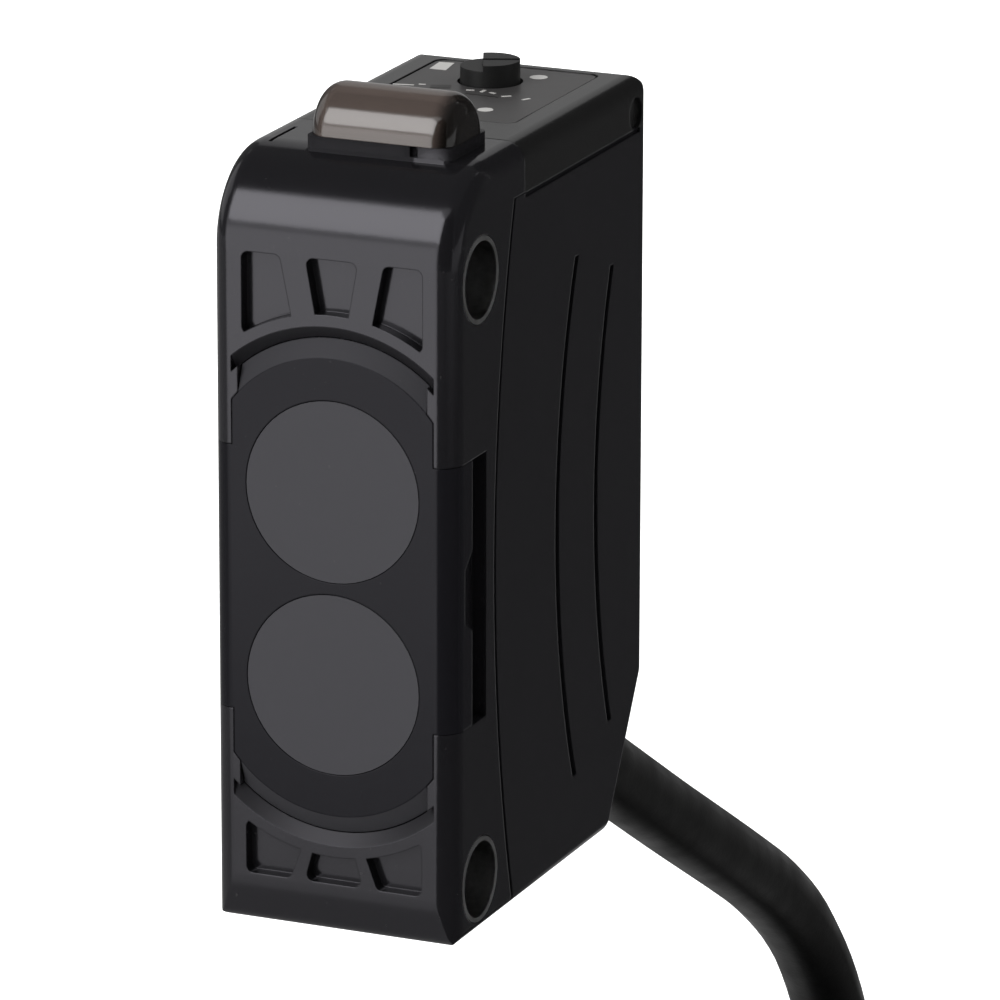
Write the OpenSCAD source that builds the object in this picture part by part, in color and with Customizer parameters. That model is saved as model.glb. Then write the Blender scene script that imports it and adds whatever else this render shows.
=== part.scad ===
// Compact photoelectric sensor with a cable, in millimetres.
// The origin is midway between the two mounting holes, in the middle of the case's width.
// The lenses look along -Y, +Z is up, and the mounting holes run along X.
// The modules draw in the case's own frame, with y from the front face and z from the base,
// and in_mount_frame() moves each piece to the origin. The cable is drawn round the origin.

/* [Case] */
// Width across the two mounting faces
case_w = 10.8; // [10.2:0.1:13]
// Depth from the front face to the back face
case_d = 20; // [19.5:0.5:26]
// Height of the case
case_h = 32.35; // [31.85:0.5:40]
// Thickness of the case walls
wall = 1; // [0.8:0.05:1.1]
// Radius of the rounded front edge of the top
brow_r = 3.8; // [2:0.1:3.9]
// Radius of the edges that run up the front, round the brow and along the top
edge_r = 0.9; // [0.6:0.1:1]
// Radius of the upright back edges
back_edge_r = 0.3; // [0.2:0.1:0.9]
// Radius of the back edge of the top
back_top_r = 0.5; // [0.2:0.1:1]
// Radius of the edges round the base
foot_r = 0.6; // [0.2:0.1:0.8]
// Height of the curve that draws the foot of the front back
toe_h = 2; // [1.5:0.1:2.1]
// How far that curve draws the foot back
toe_d = 0.3; // [0.1:0.05:0.4]
// Height of the chamfer at the foot of the back
chamfer_h = 6.77; // [6.6:0.1:7.7]
// Depth of that chamfer along the base
chamfer_d = 3.895; // [3.7:0.1:4.5]
// Height of the top cover above its parting line
cover_h = 2.1; // [2:0.1:2.4]
// Distance of the top cover's front edge behind the front face
cover_y = 7.1; // [7.1:0.1:7.6]

/* [Seams and grips] */
// Distance of the bowed side seam behind the front face at its middle
seam_y = 4.2; // [4:0.1:4.6]
// How far the ends of that seam lie behind its middle
seam_bow = 2; // [1.5:0.1:2.4]
// Width of the grooves along the seams
seam_w = 0.22; // [0.1:0.02:0.4]
// Depth of the grooves along the seams
seam_depth = 0.15; // [0.05:0.05:0.3]
// Distance of each bowed grip groove behind the front face at its middle
grip_y = [10.6, 14.75];
// Half the height of each grip groove
grip_half = [11.3, 10];
// How far the ends of each grip groove lie behind its middle
grip_bow = [2, 1.65];
// Width of a grip groove
grip_w = 0.42; // [0.2:0.02:0.8]
// Depth of a grip groove
grip_depth = 0.35; // [0.1:0.05:0.6]

/* [Mounting holes] */
// Height of the case above the upper mounting hole
hole_top = 4.65; // [4.55:0.1:6]
// Distance of the holes behind the front face
hole_in = 2.6; // [2.5:0.05:2.8]
// Height of the lower hole above the base
hole_up = 2.3; // [2.2:0.05:2.5]
// Bore of the mounting sleeves, for an M3 screw
hole_d = 3.2; // [3.1:0.05:3.3]
// Wall thickness of the mounting sleeves
sleeve_wall = 0.2; // [0.15:0.01:0.25]
// Thickness of the shelf over the upper sleeve
shelf_t = 0.75; // [0.6:0.05:0.9]

/* [Lenses and window] */
// Width of the window between the two lenses
lens_gap = 0.54; // [0.5:0.02:0.8]
// Least width of the window beside a lens
lens_side = 0.37; // [0.35:0.02:0.6]
// Distance of each lens centre from its mounting hole
lens_from_hole = 8.62; // [8.5:0.02:8.8]
// Distance of the lenses' middle below the middle of the holes
lens_drop = 0.21; // [0:0.01:0.25]
// Height of the lens's rounded back
lens_crown = 1.2; // [0.6:0.1:1.6]
// Width of the window plate's rim round a lens
rim_w = 1.79; // [1.6:0.05:1.85]
// Width of the sunken band round the plate
moat_w = 1.3; // [1.2:0.05:1.4]
// Width of the inner slope of the sunken band
slope_w = 0.8; // [0.6:0.05:1]
// Depth of the sunken band below the front face
moat_depth = 0.4; // [0.2:0.05:0.5]
// Thickness of the window plate where it lies over the case
plate_t = 0.5; // [0.45:0.05:0.7]
// Thickness of the window in the sunken band
window_t = 0.9; // [0.7:0.05:1]
// Thickness of the case walls beside the window
cheek = 1.22; // [1.1:0.02:1.25]
// Height of the window's wings
wing_h = 11.2; // [10.5:0.1:11.6]
// Distance of the wings' back edges behind the front face
wing_y = 1.78; // [1.6:0.02:2]
// Thickness of a wing
wing_t = 0.6; // [0.4:0.05:0.65]
// Thickness of the window where it crosses the cheeks
bridge_t = 1; // [0.9:0.05:1.1]
// Distance of the side slots' back edges behind the front face
slot_y = 3.2; // [3:0.1:3.4]
// Height of the catch notch in each wing
catch_h = 2.3; // [1.5:0.1:3]
// Thickness of the seal behind the window
seal_t = 0.3; // [0.2:0.05:0.4]

/* [Pockets] */
// Depth of the core-out pockets in the front face
pocket_depth = 0.55; // [0.2:0.05:0.6]
// Distance of the upper pockets' top edge below the top
pocket_drop = 3.8; // [3.7:0.05:4]
// Height of the lower pockets' bottom edge above the base
pocket_foot = 2.15; // [2:0.05:2.3]
// Radius of the pockets' corners
pocket_r = 0.3; // [0.1:0.05:0.35]
// Width of the rib between the pockets and the sunken band
pocket_rib = 0.5; // [0.4:0.05:0.6]

/* [Indicator window] */
// Left end of the indicator window, from the middle of the case
dome_left = -2.4; // [-3:0.1:-2.3]
// Right end of the indicator window, from the middle of the case
dome_right = 3.95; // [3.6:0.05:4]
// Distance of the indicator window's centre line behind the front face
dome_y = 4.7; // [4.7:0.05:4.8]
// Radius of the indicator window's round top
dome_r = 1.9; // [1.7:0.05:1.9]
// Radius of the rounded ends of the indicator window
dome_end_r = 0.9; // [0.3:0.05:1]
// Thickness of the indicator window
dome_t = 0.5; // [0.4:0.05:0.6]
// Height of the collar that the indicator window stands in
collar_h = 0.5; // [0.4:0.05:0.9]

/* [Control panel] */
// Width of the control film
film_w = 7.3; // [6.6:0.1:7.6]
// Distance of the control film's front edge behind the front face
film_y = 9.8; // [9.4:0.1:10.2]
// Distance of the control film's back edge before the back face
film_back = 0.9; // [0.8:0.1:1.5]
// Thickness of the control film
film_t = 0.12; // [0.08:0.02:0.16]
// Width of the groove round the control film
film_gap = 0.08; // [0.04:0.02:0.12]
// Distance of the dial before the back face
dial_back = 3.6; // [3.4:0.1:3.8]
// Distance of the dial left of the middle
dial_left = 0.15; // [0:0.05:0.3]
// Radius of the dial
dial_r = 1.26; // [1.2:0.02:1.3]
// Height of the dial above the film
dial_h = 0.9; // [0.8:0.05:1.4]
// Height of the dial's grip above its lower flat
dial_step = 0.25; // [0.1:0.05:0.4]
// Width of the screwdriver slot in the dial
slot_w = 0.3; // [0.2:0.02:0.5]
// Radius of the dial's shaft
shaft_r = 0.7; // [0.6:0.02:0.75]
// Radius of the seal ring's section round the shaft
ring_r = 0.28; // [0.24:0.01:0.3]

/* [Electronics] */
// Depth of the optical block
block_d = 6; // [5.5:0.1:6.3]
// Thickness of the circuit boards
board_t = 0.8; // [0.6:0.1:0.9]
// Distance of the main board's component face left of the middle
board_x = 2.1; // [2:0.05:2.3]

/* [Cable] */
// Diameter of the cable
cable_d = 3.5; // [3.3:0.1:3.6]
// Distance of the cable's centre up the chamfer from the base
cable_up = 5.031; // [4.8:0.1:5.1]
// Wall thickness of the bush round the cable
bush_wall = 0.55; // [0.45:0.05:0.6]
// Length of the bush inside the case
bush_l = 4; // [3.5:0.1:4.4]
// Diameter of an insulated conductor
core_d = 1; // [0.8:0.05:1.05]
// Number of turns side by side in the coil
coil_columns = 4; // [4:1:5]
// Number of turns on top of each other in the coil
coil_layers = 4; // [4:1:5]
// Radius of the coil's hole
coil_hole_r = 12; // [11:0.5:14]
// Width of the cable tie
tie_w = 2.5; // [2:0.1:3.6]
// Thickness of the cable tie
tie_t = 1; // [0.8:0.1:1.3]

/* [Hidden] */
$fn = 48;
eps = 0.01;       // how far a cut runs past the face it opens
slip = 0.03;      // clearance round pieces that stay put
running = 0.05;   // clearance round pieces that turn
far = 100;        // longer than any piece of the case

// Mounting holes
hole_pitch = case_h - hole_up - hole_top;
hole_mid = hole_up + hole_pitch / 2;
hole_high = hole_up + hole_pitch;
sleeve_r = hole_d / 2 + sleeve_wall;

// Heights of the case's parts
cover_z = case_h - cover_h;
roof_z = case_h - wall;
inner_w = case_w - 2 * wall;
back_y = case_d - wall;

// The chamfer's angle from upright, which is also how far the cable points down
chamfer_a = atan(chamfer_d / chamfer_h);
exit_y = case_d - chamfer_d + cable_up * sin(chamfer_a);
exit_z = cable_up * cos(chamfer_a);
exit_way = [0, cos(chamfer_a), -sin(chamfer_a)];

// The bowed seam, as a circle seen from the side
seam_half = cover_z / 2;
seam_r = (seam_half * seam_half + seam_bow * seam_bow) / (2 * seam_bow);

// The window and what lies behind it
opening_w = case_w - 2 * cheek;
lens_pitch = hole_pitch - 2 * lens_from_hole;
lens_r = min((lens_pitch - lens_gap) / 2, opening_w / 2 - lens_side);
wing_mid = hole_mid - lens_drop;
lens_z = [wing_mid - lens_pitch / 2, wing_mid + lens_pitch / 2];
plate_r = lens_r + rim_w;
moat_r = plate_r + moat_w;
valley_r = plate_r + slope_w;
plate_w = case_w - 2 * edge_r - 2 * slip;
window_back = moat_depth + window_t;
block_y = window_back + seal_t;
tunnel_r = lens_r - 0.06;
tunnel_end_r = 1.8;
room_low = hole_up + sleeve_r + 0.65;
room_high = hole_high - sleeve_r - 0.65;
boss_y = hole_in + sleeve_r + 0.8;
sensor_y = block_y + block_d;
sensor_back = sensor_y + board_t;

// The shelf over the upper sleeve, and the board on it
shelf_z = hole_high + sleeve_r + shelf_t;
shelf_y = 2.95;

// The dial, its shaft and its seal
dial_y = case_d - dial_back;
film_z = case_h - film_t - slip;
dial_low = case_h - 0.75;
ring_z = dial_low - slip - ring_r - 0.05;
neck_r = shaft_r + slip + 2 * ring_r + slip;
lip_z = ring_z - ring_r - slip;
rotor_z = lip_z - 0.35;
trimmer_w = 4.2;
trimmer_h = 2.2;
rotor_h = 0.4;
trimmer_top = rotor_z - rotor_h - running;

// The bush, the clamp ring behind it and the end of the cable
cable_r = cable_d / 2;
bush_r = cable_r + slip + bush_wall;
clamp_l = 1.2;
root_l = bush_l + clamp_l + 0.4;
board_foot = exit_z + root_l * sin(chamfer_a) + bush_r + 1.6;

// The cable's route, from the chamfer to the coil, in the plane x = 0 and round the origin
exit_point = [0, exit_y - hole_in, exit_z - hole_mid];
lead_points = [
    [0, 24.7, -15.8], [0, 33.4, -20.95], [0, 42, -25.95], [0, 46.6, -28.8], [0, 50.6, -31.95],
    [0, 53.9, -35.8], [0, 56.4, -40.3], [0, 58.2, -45.2], [0, 59.7, -50.3], [0, 60.8, -54.6],
];
// The coil's middle, and the tail that hangs from its last turn
coil_y = 37.4;
coil_z = -60.8;
tail_points = [[10.5, 61.6, -61], [10.5, 61.4, -66], [10.5, 60.7, -71], [10.5, 59.6, -76], [10.5, 58.2, -81]];
ring_gap = 2.5 * cable_d;  // distance between the cable tube's rings
tube_sides = 8;

coil_x = (coil_columns - 1) * cable_d / 2;
coil_out_r = coil_hole_r + coil_layers * cable_d;
coil_w = coil_columns * cable_d;
tie_angle = 100;

// The bare conductors: how far each leans as it leaves the sheath
core_l = 22;
core_sunk = 3;
tip_l = 4;
tip_d = 0.55;
core_lean = [[-1, 5], [-6, -2], [5, -3]];

// ---------------------------------------------------------------- shared shapes

module in_mount_frame() {
    translate([0, -hole_in, -hole_mid]) children();
}

// A drawing in y and z, given thickness t across the case, centred on x
module across(t, x = 0) {
    translate([x, 0, 0]) rotate([90, 0, 90]) linear_extrude(height = t, center = true) children();
}

// A drawing in x and z, given depth from y0 to y1
module inward(y0, y1) {
    translate([0, y1, 0]) rotate([90, 0, 0]) linear_extrude(height = y1 - y0) children();
}

// A block between two corners
module block(a, b) {
    translate(a) cube(b - a);
}

// What a fillet takes off a corner at the origin whose sides run along sx and sy
module fillet_cut(r, sx, sy) {
    scale_x = sx > 0 ? 0 : 1;
    scale_y = sy > 0 ? 0 : 1;
    mirror([scale_x, 0]) mirror([0, scale_y]) difference() {
        translate([-1, -1]) square(r + 1);
        translate([r, r]) circle(r);
    }
}

// A rectangle from x0 to x1 and y0 to y1, with radius r0 on its low corners and r1 on its high ones
module soft_rect(x0, x1, y0, y1, r0, r1) {
    difference() {
        translate([x0, y0]) square([x1 - x0, y1 - y0]);
        translate([x0, y0]) fillet_cut(r0, 1, 1);
        translate([x1, y0]) fillet_cut(r0, -1, 1);
        translate([x0, y1]) fillet_cut(r1, 1, -1);
        translate([x1, y1]) fillet_cut(r1, -1, -1);
    }
}

// What the foot of the front leaves off its corner: a slow curve, then a round of foot_r
module toe_cut() {
    toe_r = (toe_h * toe_h + toe_d * toe_d) / (2 * toe_d);
    middle = [toe_r - sqrt(pow(toe_r - foot_r, 2) - pow(toe_h - foot_r, 2)), foot_r];
    meet = [toe_r, toe_h] + toe_r * unit(middle - [toe_r, toe_h]);
    difference() {
        translate([-1, -1]) square([middle.x + 1, toe_h + 1]);
        translate([toe_r, toe_h]) circle(toe_r, $fn = 180);
    }
    difference() {
        polygon([[-1, -1], [middle.x, -1], middle, meet, [-1, meet.y]]);
        translate(middle) circle(foot_r);
    }
}

// The case's outline from the side
module side_outline() {
    difference() {
        polygon([[0, 0], [case_d - chamfer_d, 0], [case_d, chamfer_h], [case_d, case_h], [0, case_h]]);
        toe_cut();
        translate([0, case_h]) fillet_cut(brow_r, 1, -1);
        translate([case_d, case_h]) fillet_cut(back_top_r, -1, -1);
    }
}

// A convex drawing through the points p, anticlockwise, with its corners rounded to radius r
module soft_polygon(p, r) {
    n = len(p);
    difference() {
        polygon(p);
        for (i = [0 : n - 1]) {
            before = unit(p[(i + n - 1) % n] - p[i]);
            after = unit(p[(i + 1) % n] - p[i]);
            half = acos(before * after) / 2;
            middle = p[i] + r / sin(half) * unit(before + after);
            difference() {
                polygon([p[i] - 0.1 * unit(before + after), p[i] + r / tan(half) * after,
                         middle, p[i] + r / tan(half) * before]);
                translate(middle) circle(r);
            }
        }
    }
}

// The whole case as one rounded solid, from which its three mouldings are cut
module case_form() {
    side = case_w / 2;
    difference() {
        intersection() {
            across(case_w) side_outline();
            linear_extrude(height = case_h) difference() {
                translate([-side, 0]) square([case_w, case_d]);
                translate([-side, case_d]) fillet_cut(back_edge_r, 1, -1);
                translate([side, case_d]) fillet_cut(back_edge_r, -1, -1);
            }
            inward(0, case_d) difference() {
                translate([-side, 0]) square([case_w, case_h]);
                translate([-side, 0]) fillet_cut(foot_r, 1, 1);
                translate([side, 0]) fillet_cut(foot_r, -1, 1);
            }
        }
        for (s = [0, 1]) mirror([s, 0, 0]) long_edge();
    }
}

// What is taken off the right edge, up the front, round the brow and back along the top
module long_edge() {
    side = case_w / 2;
    brow_z = case_h - brow_r;
    translate([side, 0, -1]) linear_extrude(height = brow_z + 1) fillet_cut(edge_r, -1, 1);
    intersection() {
        translate([0, brow_r, brow_z]) rotate([0, 90, 0]) rotate_extrude($fn = 96)
            translate([brow_r, side]) fillet_cut(edge_r, -1, -1);
        block([0, -far, brow_z], [far, brow_r, far]);
    }
    inward(brow_r, case_d + 1) translate([side, case_h]) fillet_cut(edge_r, -1, -1);
}

// The region behind the bowed seam, as a drawing in y and z, grown by g
module behind_seam(g = 0) {
    translate([seam_y + seam_r, seam_half]) circle(seam_r + g, $fn = 180);
}

// A cylinder along x through the point y, z
module cross_pin(r, l, y, z) {
    translate([-l / 2, y, z]) rotate([0, 90, 0]) cylinder(r = r, h = l);
}

// A straight round rod from a to b
module rod(a, b, r) {
    d = b - a;
    l = norm(d);
    translate(a) rotate([0, acos(d.z / l), atan2(d.y, d.x)]) cylinder(r = r, h = l);
}

// Children drawn along +z, turned to point out of the chamfer along the cable
module along_exit() {
    translate([0, exit_y, exit_z]) rotate([-90 - chamfer_a, 0, 0]) children();
}

// Both lens axes as places to draw, seen from the front
module at_lenses() {
    for (z = lens_z) translate([0, z]) children();
}

// The window's outline round both lenses, with radius r and width w
module window_outline(r, w) {
    intersection() {
        union() {
            at_lenses() circle(r, $fn = 96);
            translate([-w / 2, lens_z[0]]) square([w, lens_pitch]);
        }
        translate([-w / 2, lens_z[0] - r]) square([w, lens_pitch + 2 * r]);
    }
}

// A cone round each lens axis, with radius r0 at the front face and r1 in the sunken band
module band_cones(r0, r1) {
    for (z = lens_z) translate([0, 0, z]) rotate([-90, 0, 0])
        cylinder(r1 = r0, r2 = r1, h = moat_depth, $fn = 96);
}

// ---------------------------------------------------------------- case

// The three upper pockets, fanned above the sunken band
module upper_pockets() {
    arc_r = moat_r + pocket_rib;
    side = opening_w / 2 - 0.2;
    top = case_h - pocket_drop;
    foot = lens_z[1] + arc_r - 3.9;
    difference() {
        union() {
            soft_polygon([[-1.15, top], [-0.56, foot + 2.9], [0.56, foot + 2.9], [1.15, top]], pocket_r);
            for (s = [0, 1]) mirror([s, 0])
                soft_polygon([[2.3, top], [1.05, foot], [3.1, foot + 2.2], [side, foot + 2.9],
                              [side, top]], pocket_r);
        }
        translate([0, lens_z[1]]) circle(arc_r, $fn = 96);
    }
}

// The three lower pockets, cut off by the same band
module lower_pockets() {
    arc_r = moat_r + pocket_rib;
    side = opening_w / 2 - 0.25;
    top = lens_z[0] - arc_r + 1.5;
    difference() {
        union() {
            soft_polygon([[-1.3, pocket_foot], [1.3, pocket_foot], [0.55, top], [-0.55, top]], pocket_r);
            for (s = [0, 1]) mirror([s, 0])
                soft_polygon([[1.95, pocket_foot], [side, pocket_foot], [side, top - 0.6],
                              [3.4, top + 0.2], [0.95, top]], pocket_r);
        }
        translate([0, lens_z[0]]) circle(arc_r, $fn = 96);
    }
}

// What the window and its wings take out of the front case
module window_cut() {
    low = wing_mid - wing_h / 2 - slip;
    high = wing_mid + wing_h / 2 + slip;
    inward(-1, window_back + slip) window_outline(valley_r, opening_w);
    inward(-1, plate_t + slip) window_outline(plate_r + slip, plate_w);
    // outer slope of the sunken band, above and below the window
    difference() {
        intersection() {
            band_cones(moat_r, valley_r);
            block([-plate_w / 2, -1, -far], [plate_w / 2, far, far]);
        }
        inward(-1, far) at_lenses() circle(valley_r, $fn = 96);
        block([-far, -far, lens_z[0]], [far, far, lens_z[1]]);
    }
    block([-case_w, -1, low], [case_w, bridge_t + slip, high]);
    for (s = [-1, 1]) translate([s * case_w / 2, slot_y / 2 - 0.5, wing_mid])
        cube([2 * (wing_t + slip), slot_y + 1, high - low], center = true);
}

// The raised collar of the indicator window
module collar() {
    translate([0, 0, case_h - 0.3]) linear_extrude(height = collar_h + 0.3)
        soft_rect(dome_left, dome_right, dome_y - dome_r, dome_y + dome_r, 0.3, 0.3);
}

// The inside of the indicator window's seat, which goes through the case's roof
module dome_seat(gap = 0) {
    translate([dome_left + 0.35 - gap, dome_y - dome_r + 0.35 - gap, roof_z - eps])
        cube([dome_right - dome_left - 0.7 + 2 * gap, 2 * dome_r - 0.7 + 2 * gap, wall + collar_h + 2 * eps]);
}

module front_case() {
    color([0.11, 0.11, 0.12])
    difference() {
        union() {
            difference() {
                case_form();
                intersection() {
                    across(far) behind_seam(slip);
                    block([-far, 0, -far], [far, far, cover_z + slip]);
                }
                block([-far, cover_y, -far], [far, far, far]);
            }
            collar();
        }
        window_cut();
        // room behind the window, behind the sleeves and over the upper one
        block([-opening_w / 2, window_back, room_low], [opening_w / 2, far, room_high]);
        block([-inner_w / 2, boss_y, wall], [inner_w / 2, far, roof_z]);
        block([-inner_w / 2, shelf_y, shelf_z], [inner_w / 2, far, roof_z]);
        inward(-1, pocket_depth) {
            upper_pockets();
            lower_pockets();
        }
        for (z = [hole_up, hole_high]) cross_pin(sleeve_r + slip, case_w + 1, hole_in, z);
        dome_seat(slip);
        // notch in the collar, and the shallow line left of it
        block([2.2, 0, case_h + 0.05], [2.55, dome_y - dome_r + 0.2, far]);
        block([-4.25, shelf_y + 0.3, case_h - 0.1], [-4.1, dome_y + 1.1, far]);
        // grooves along the bowed seam
        for (s = [-1, 1]) intersection() {
            across(2 * seam_depth, s * case_w / 2) behind_seam(seam_w);
            block([-far, 0, -far], [far, far, cover_z + slip]);
        }
    }
}

// The case's hollow behind the front case
module rear_room() {
    n_y = cos(chamfer_a);
    n_z = sin(chamfer_a);
    reach = case_d * n_y - chamfer_h * n_z - wall;
    across(inner_w) polygon([
        [0, wall], [(reach + wall * n_z) / n_y, wall],
        [back_y, (back_y * n_y - reach) / n_z], [back_y, far], [0, far],
    ]);
}

// Both bowed grip grooves of one side, as a drawing in y and z
module grip_lines() {
    for (i = [0, 1]) {
        r = (grip_half[i] * grip_half[i] + grip_bow[i] * grip_bow[i]) / (2 * grip_bow[i]);
        translate([grip_y[i] + r, hole_mid]) intersection() {
            difference() {
                circle(r + grip_w / 2, $fn = 180);
                circle(r - grip_w / 2, $fn = 180);
            }
            translate([-r - grip_w, -grip_half[i]]) square([r, 2 * grip_half[i]]);
        }
    }
}

module rear_case() {
    color([0.09, 0.09, 0.1])
    difference() {
        union() {
            difference() {
                intersection() {
                    case_form();
                    across(far) behind_seam();
                    block([-far, 0, 0], [far, far, cover_z]);
                }
                rear_room();
            }
            intersection() {
                case_form();
                along_exit() translate([0, 0, -bush_l]) cylinder(r = bush_r + 0.7, h = 2 * bush_l);
                across(inner_w + wall) square([case_d, cover_z / 2]);
            }
        }
        along_exit() translate([0, 0, -2 * bush_l]) cylinder(r = bush_r + slip, h = 4 * bush_l);
        for (s = [-1, 1]) across(2 * grip_depth, s * case_w / 2) grip_lines();
        // groove under the top cover, short of the back edge
        difference() {
            block([-far, cover_y, cover_z - seam_w], [far, case_d - 0.6, far]);
            block([-case_w / 2 + seam_depth, 0, 0], [case_w / 2 - seam_depth, far, far]);
        }
    }
}

// ---------------------------------------------------------------- top cover and controls

module film_outline(gap = 0) {
    soft_rect(-film_w / 2 - gap, film_w / 2 + gap, film_y - gap, case_d - film_back + gap, 0.5, 0.5);
}

module top_cover() {
    color([0.13, 0.13, 0.14])
    difference() {
        union() {
            difference() {
                intersection() {
                    case_form();
                    block([-far, cover_y + slip, cover_z], [far, far, far]);
                }
                block([-inner_w / 2, 0, 0], [inner_w / 2, back_y, roof_z]);
            }
            // neck that holds the dial's seal
            translate([-dial_left, dial_y, lip_z - 0.2]) cylinder(r = neck_r + 0.6, h = roof_z - lip_z + 0.3);
        }
        translate([0, 0, film_z]) linear_extrude(height = 1) film_outline(film_gap);
        translate([-dial_left, dial_y, dial_low - slip]) cylinder(r = dial_r + running, h = far);
        translate([-dial_left, dial_y, lip_z]) cylinder(r = neck_r, h = far);
        translate([-dial_left, dial_y, 0]) cylinder(r = shaft_r + running, h = far);
        // dimple at each back corner
        for (s = [-1, 1]) translate([s * case_w / 2, case_d - 1.1, case_h - 1.45]) rotate([0, 90, 0])
            cylinder(r = 0.7, h = 0.4, center = true);
    }
}

module control_film() {
    color([0.3, 0.3, 0.31])
    difference() {
        translate([0, 0, film_z]) linear_extrude(height = film_t) film_outline();
        translate([-dial_left, dial_y, 0]) cylinder(r = dial_r + 0.12, h = far);
    }
}

module sensitivity_dial() {
    grip_turn = 23;
    top = case_h + dial_h;
    color([0.07, 0.07, 0.08])
    translate([-dial_left, dial_y, 0]) difference() {
        union() {
            translate([0, 0, dial_low]) cylinder(r = dial_r, h = top - dial_low);
            translate([0, 0, rotor_z]) cylinder(r = shaft_r, h = dial_low - rotor_z + eps);
        }
        rotate([0, 0, grip_turn]) {
            block([-far, -far, top - dial_step], [-0.3, far, far]);
            block([-0.3 - eps, -slot_w / 2, top - dial_step - 0.25], [far, slot_w / 2, far]);
        }
    }
}

module trimmer_rotor() {
    color([0.85, 0.84, 0.8])
    translate([-dial_left, dial_y, rotor_z - rotor_h]) cylinder(r = 1.5, h = rotor_h);
}

module dial_seal() {
    color([0.05, 0.05, 0.05])
    translate([-dial_left, dial_y, ring_z]) rotate_extrude()
        translate([shaft_r + slip + ring_r, 0]) circle(ring_r, $fn = 24);
}

module trimmer_body() {
    color([0.16, 0.3, 0.55])
    translate([-board_x, dial_y - trimmer_w / 2, trimmer_top - trimmer_h])
        cube([trimmer_w, trimmer_w, trimmer_h]);
}

// ---------------------------------------------------------------- indicator

// The indicator window's form: a half-round bar with rounded ends, on upright sides
module dome_form(r, x0, x1, end_r, foot) {
    top = case_h + collar_h;
    translate([0, dome_y, top]) rotate([0, 90, 0]) intersection() {
        rotate_extrude() difference() {
            translate([0, x0]) square([r, x1 - x0]);
            translate([r, x0]) fillet_cut(end_r, -1, 1);
            translate([r, x1]) fillet_cut(end_r, -1, -1);
        }
        translate([-far, -far, -far]) cube([far, 2 * far, 2 * far]);
    }
    translate([x0 + 0.35, dome_y - r + 0.35, foot])
        cube([x1 - x0 - 0.7, 2 * r - 0.7, top - foot + eps]);
}

module indicator_window() {
    color([0.28, 0.24, 0.21, 0.75])
    difference() {
        dome_form(dome_r, dome_left, dome_right, dome_end_r, roof_z);
        dome_form(dome_r - dome_t, dome_left + dome_t, dome_right - dome_t, 0.3, roof_z - 1);
    }
}

// A small indicator LED on the indicator board
module indicator_chip(x) {
    translate([x, dome_y, shelf_z + 0.5]) translate([-0.8, -0.4, 0]) cube([1.6, 0.8, 0.5]);
}

module output_indicator() {
    color([0.85, 0.3, 0.1]) indicator_chip(2.1);
}

module stability_indicator() {
    color([0.2, 0.7, 0.25]) indicator_chip(-0.7);
}

module indicator_board() {
    side = inner_w / 2 - slip;
    color([0.1, 0.35, 0.2])
    block([-side, shelf_y + slip, shelf_z], [side, cover_y - slip, shelf_z + 0.5]);
}

// ---------------------------------------------------------------- optics

module front_window() {
    low = wing_mid - wing_h / 2;
    high = wing_mid + wing_h / 2;
    lip = 1.15;
    color([0.16, 0.16, 0.18])
    difference() {
        union() {
            inward(moat_depth, window_back) window_outline(valley_r - slip, opening_w - 2 * slip);
            inward(0, plate_t) window_outline(plate_r, plate_w - 2 * slip);
            intersection() {
                band_cones(plate_r, valley_r - slip);
                block([slip - opening_w / 2, -1, -far], [opening_w / 2 - slip, far, far]);
            }
            intersection() {
                case_form();
                union() {
                    block([-case_w, 0, low], [case_w, bridge_t, high]);
                    for (s = [-1, 1]) translate([s * case_w / 2, wing_y / 2, wing_mid])
                        cube([2 * wing_t, wing_y, wing_h], center = true);
                }
            }
        }
        inward(-1, 3) at_lenses() circle(lens_r + slip, $fn = 96);
        // catch notch, with sloped ends, in the back edge of each wing
        across(far) polygon([
            [lip - 0.1, wing_mid - catch_h / 2], [lip - 0.1, wing_mid + catch_h / 2],
            [wing_y + 1, wing_mid + catch_h / 2 + 1.6], [wing_y + 1, wing_mid - catch_h / 2 - 1],
        ]);
    }
}

// A lens with a flat front and a rounded back, at height z
module lens(z) {
    r = lens_r;
    ball = (r * r + lens_crown * lens_crown) / (2 * lens_crown);
    translate([0, 0, z]) rotate([-90, 0, 0]) intersection() {
        cylinder(r = r, h = window_back + lens_crown, $fn = 96);
        translate([0, 0, window_back + lens_crown - ball]) sphere(ball, $fn = 96);
    }
}

module emitter_lens() {
    color([0.3, 0.3, 0.32]) lens(lens_z[1]);
}

module receiver_lens() {
    color([0.3, 0.3, 0.32]) lens(lens_z[0]);
}

// A slab that fills the room behind the window, from y0 to y1
module optics_slab(y0, y1) {
    side = opening_w / 2 - slip;
    block([-side, y0, room_low + slip], [side, y1, room_high - slip]);
}

module window_seal() {
    color([0.05, 0.05, 0.05])
    difference() {
        optics_slab(window_back, block_y);
        inward(0, far) at_lenses() circle(lens_r + slip, $fn = 96);
    }
}

module optical_block() {
    color([0.14, 0.14, 0.15])
    difference() {
        optics_slab(block_y, sensor_y);
        for (z = lens_z) translate([0, block_y - eps, z]) rotate([-90, 0, 0])
            cylinder(r1 = tunnel_r, r2 = tunnel_end_r, h = block_d + 2 * eps, $fn = 72);
    }
}

module emitter_led() {
    color([0.75, 0.8, 0.9])
    translate([0, sensor_y, lens_z[1]]) rotate([90, 0, 0]) {
        cylinder(r = 1.4, h = 0.4);
        cylinder(r = 1.1, h = 1.2);
        translate([0, 0, 1.2]) sphere(1.1);
    }
}

module receiver_photodiode() {
    color([0.1, 0.1, 0.12])
    translate([-1.2, sensor_y - 0.9, lens_z[0] - 1.2]) cube([2.4, 0.9, 2.4]);
}

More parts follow.
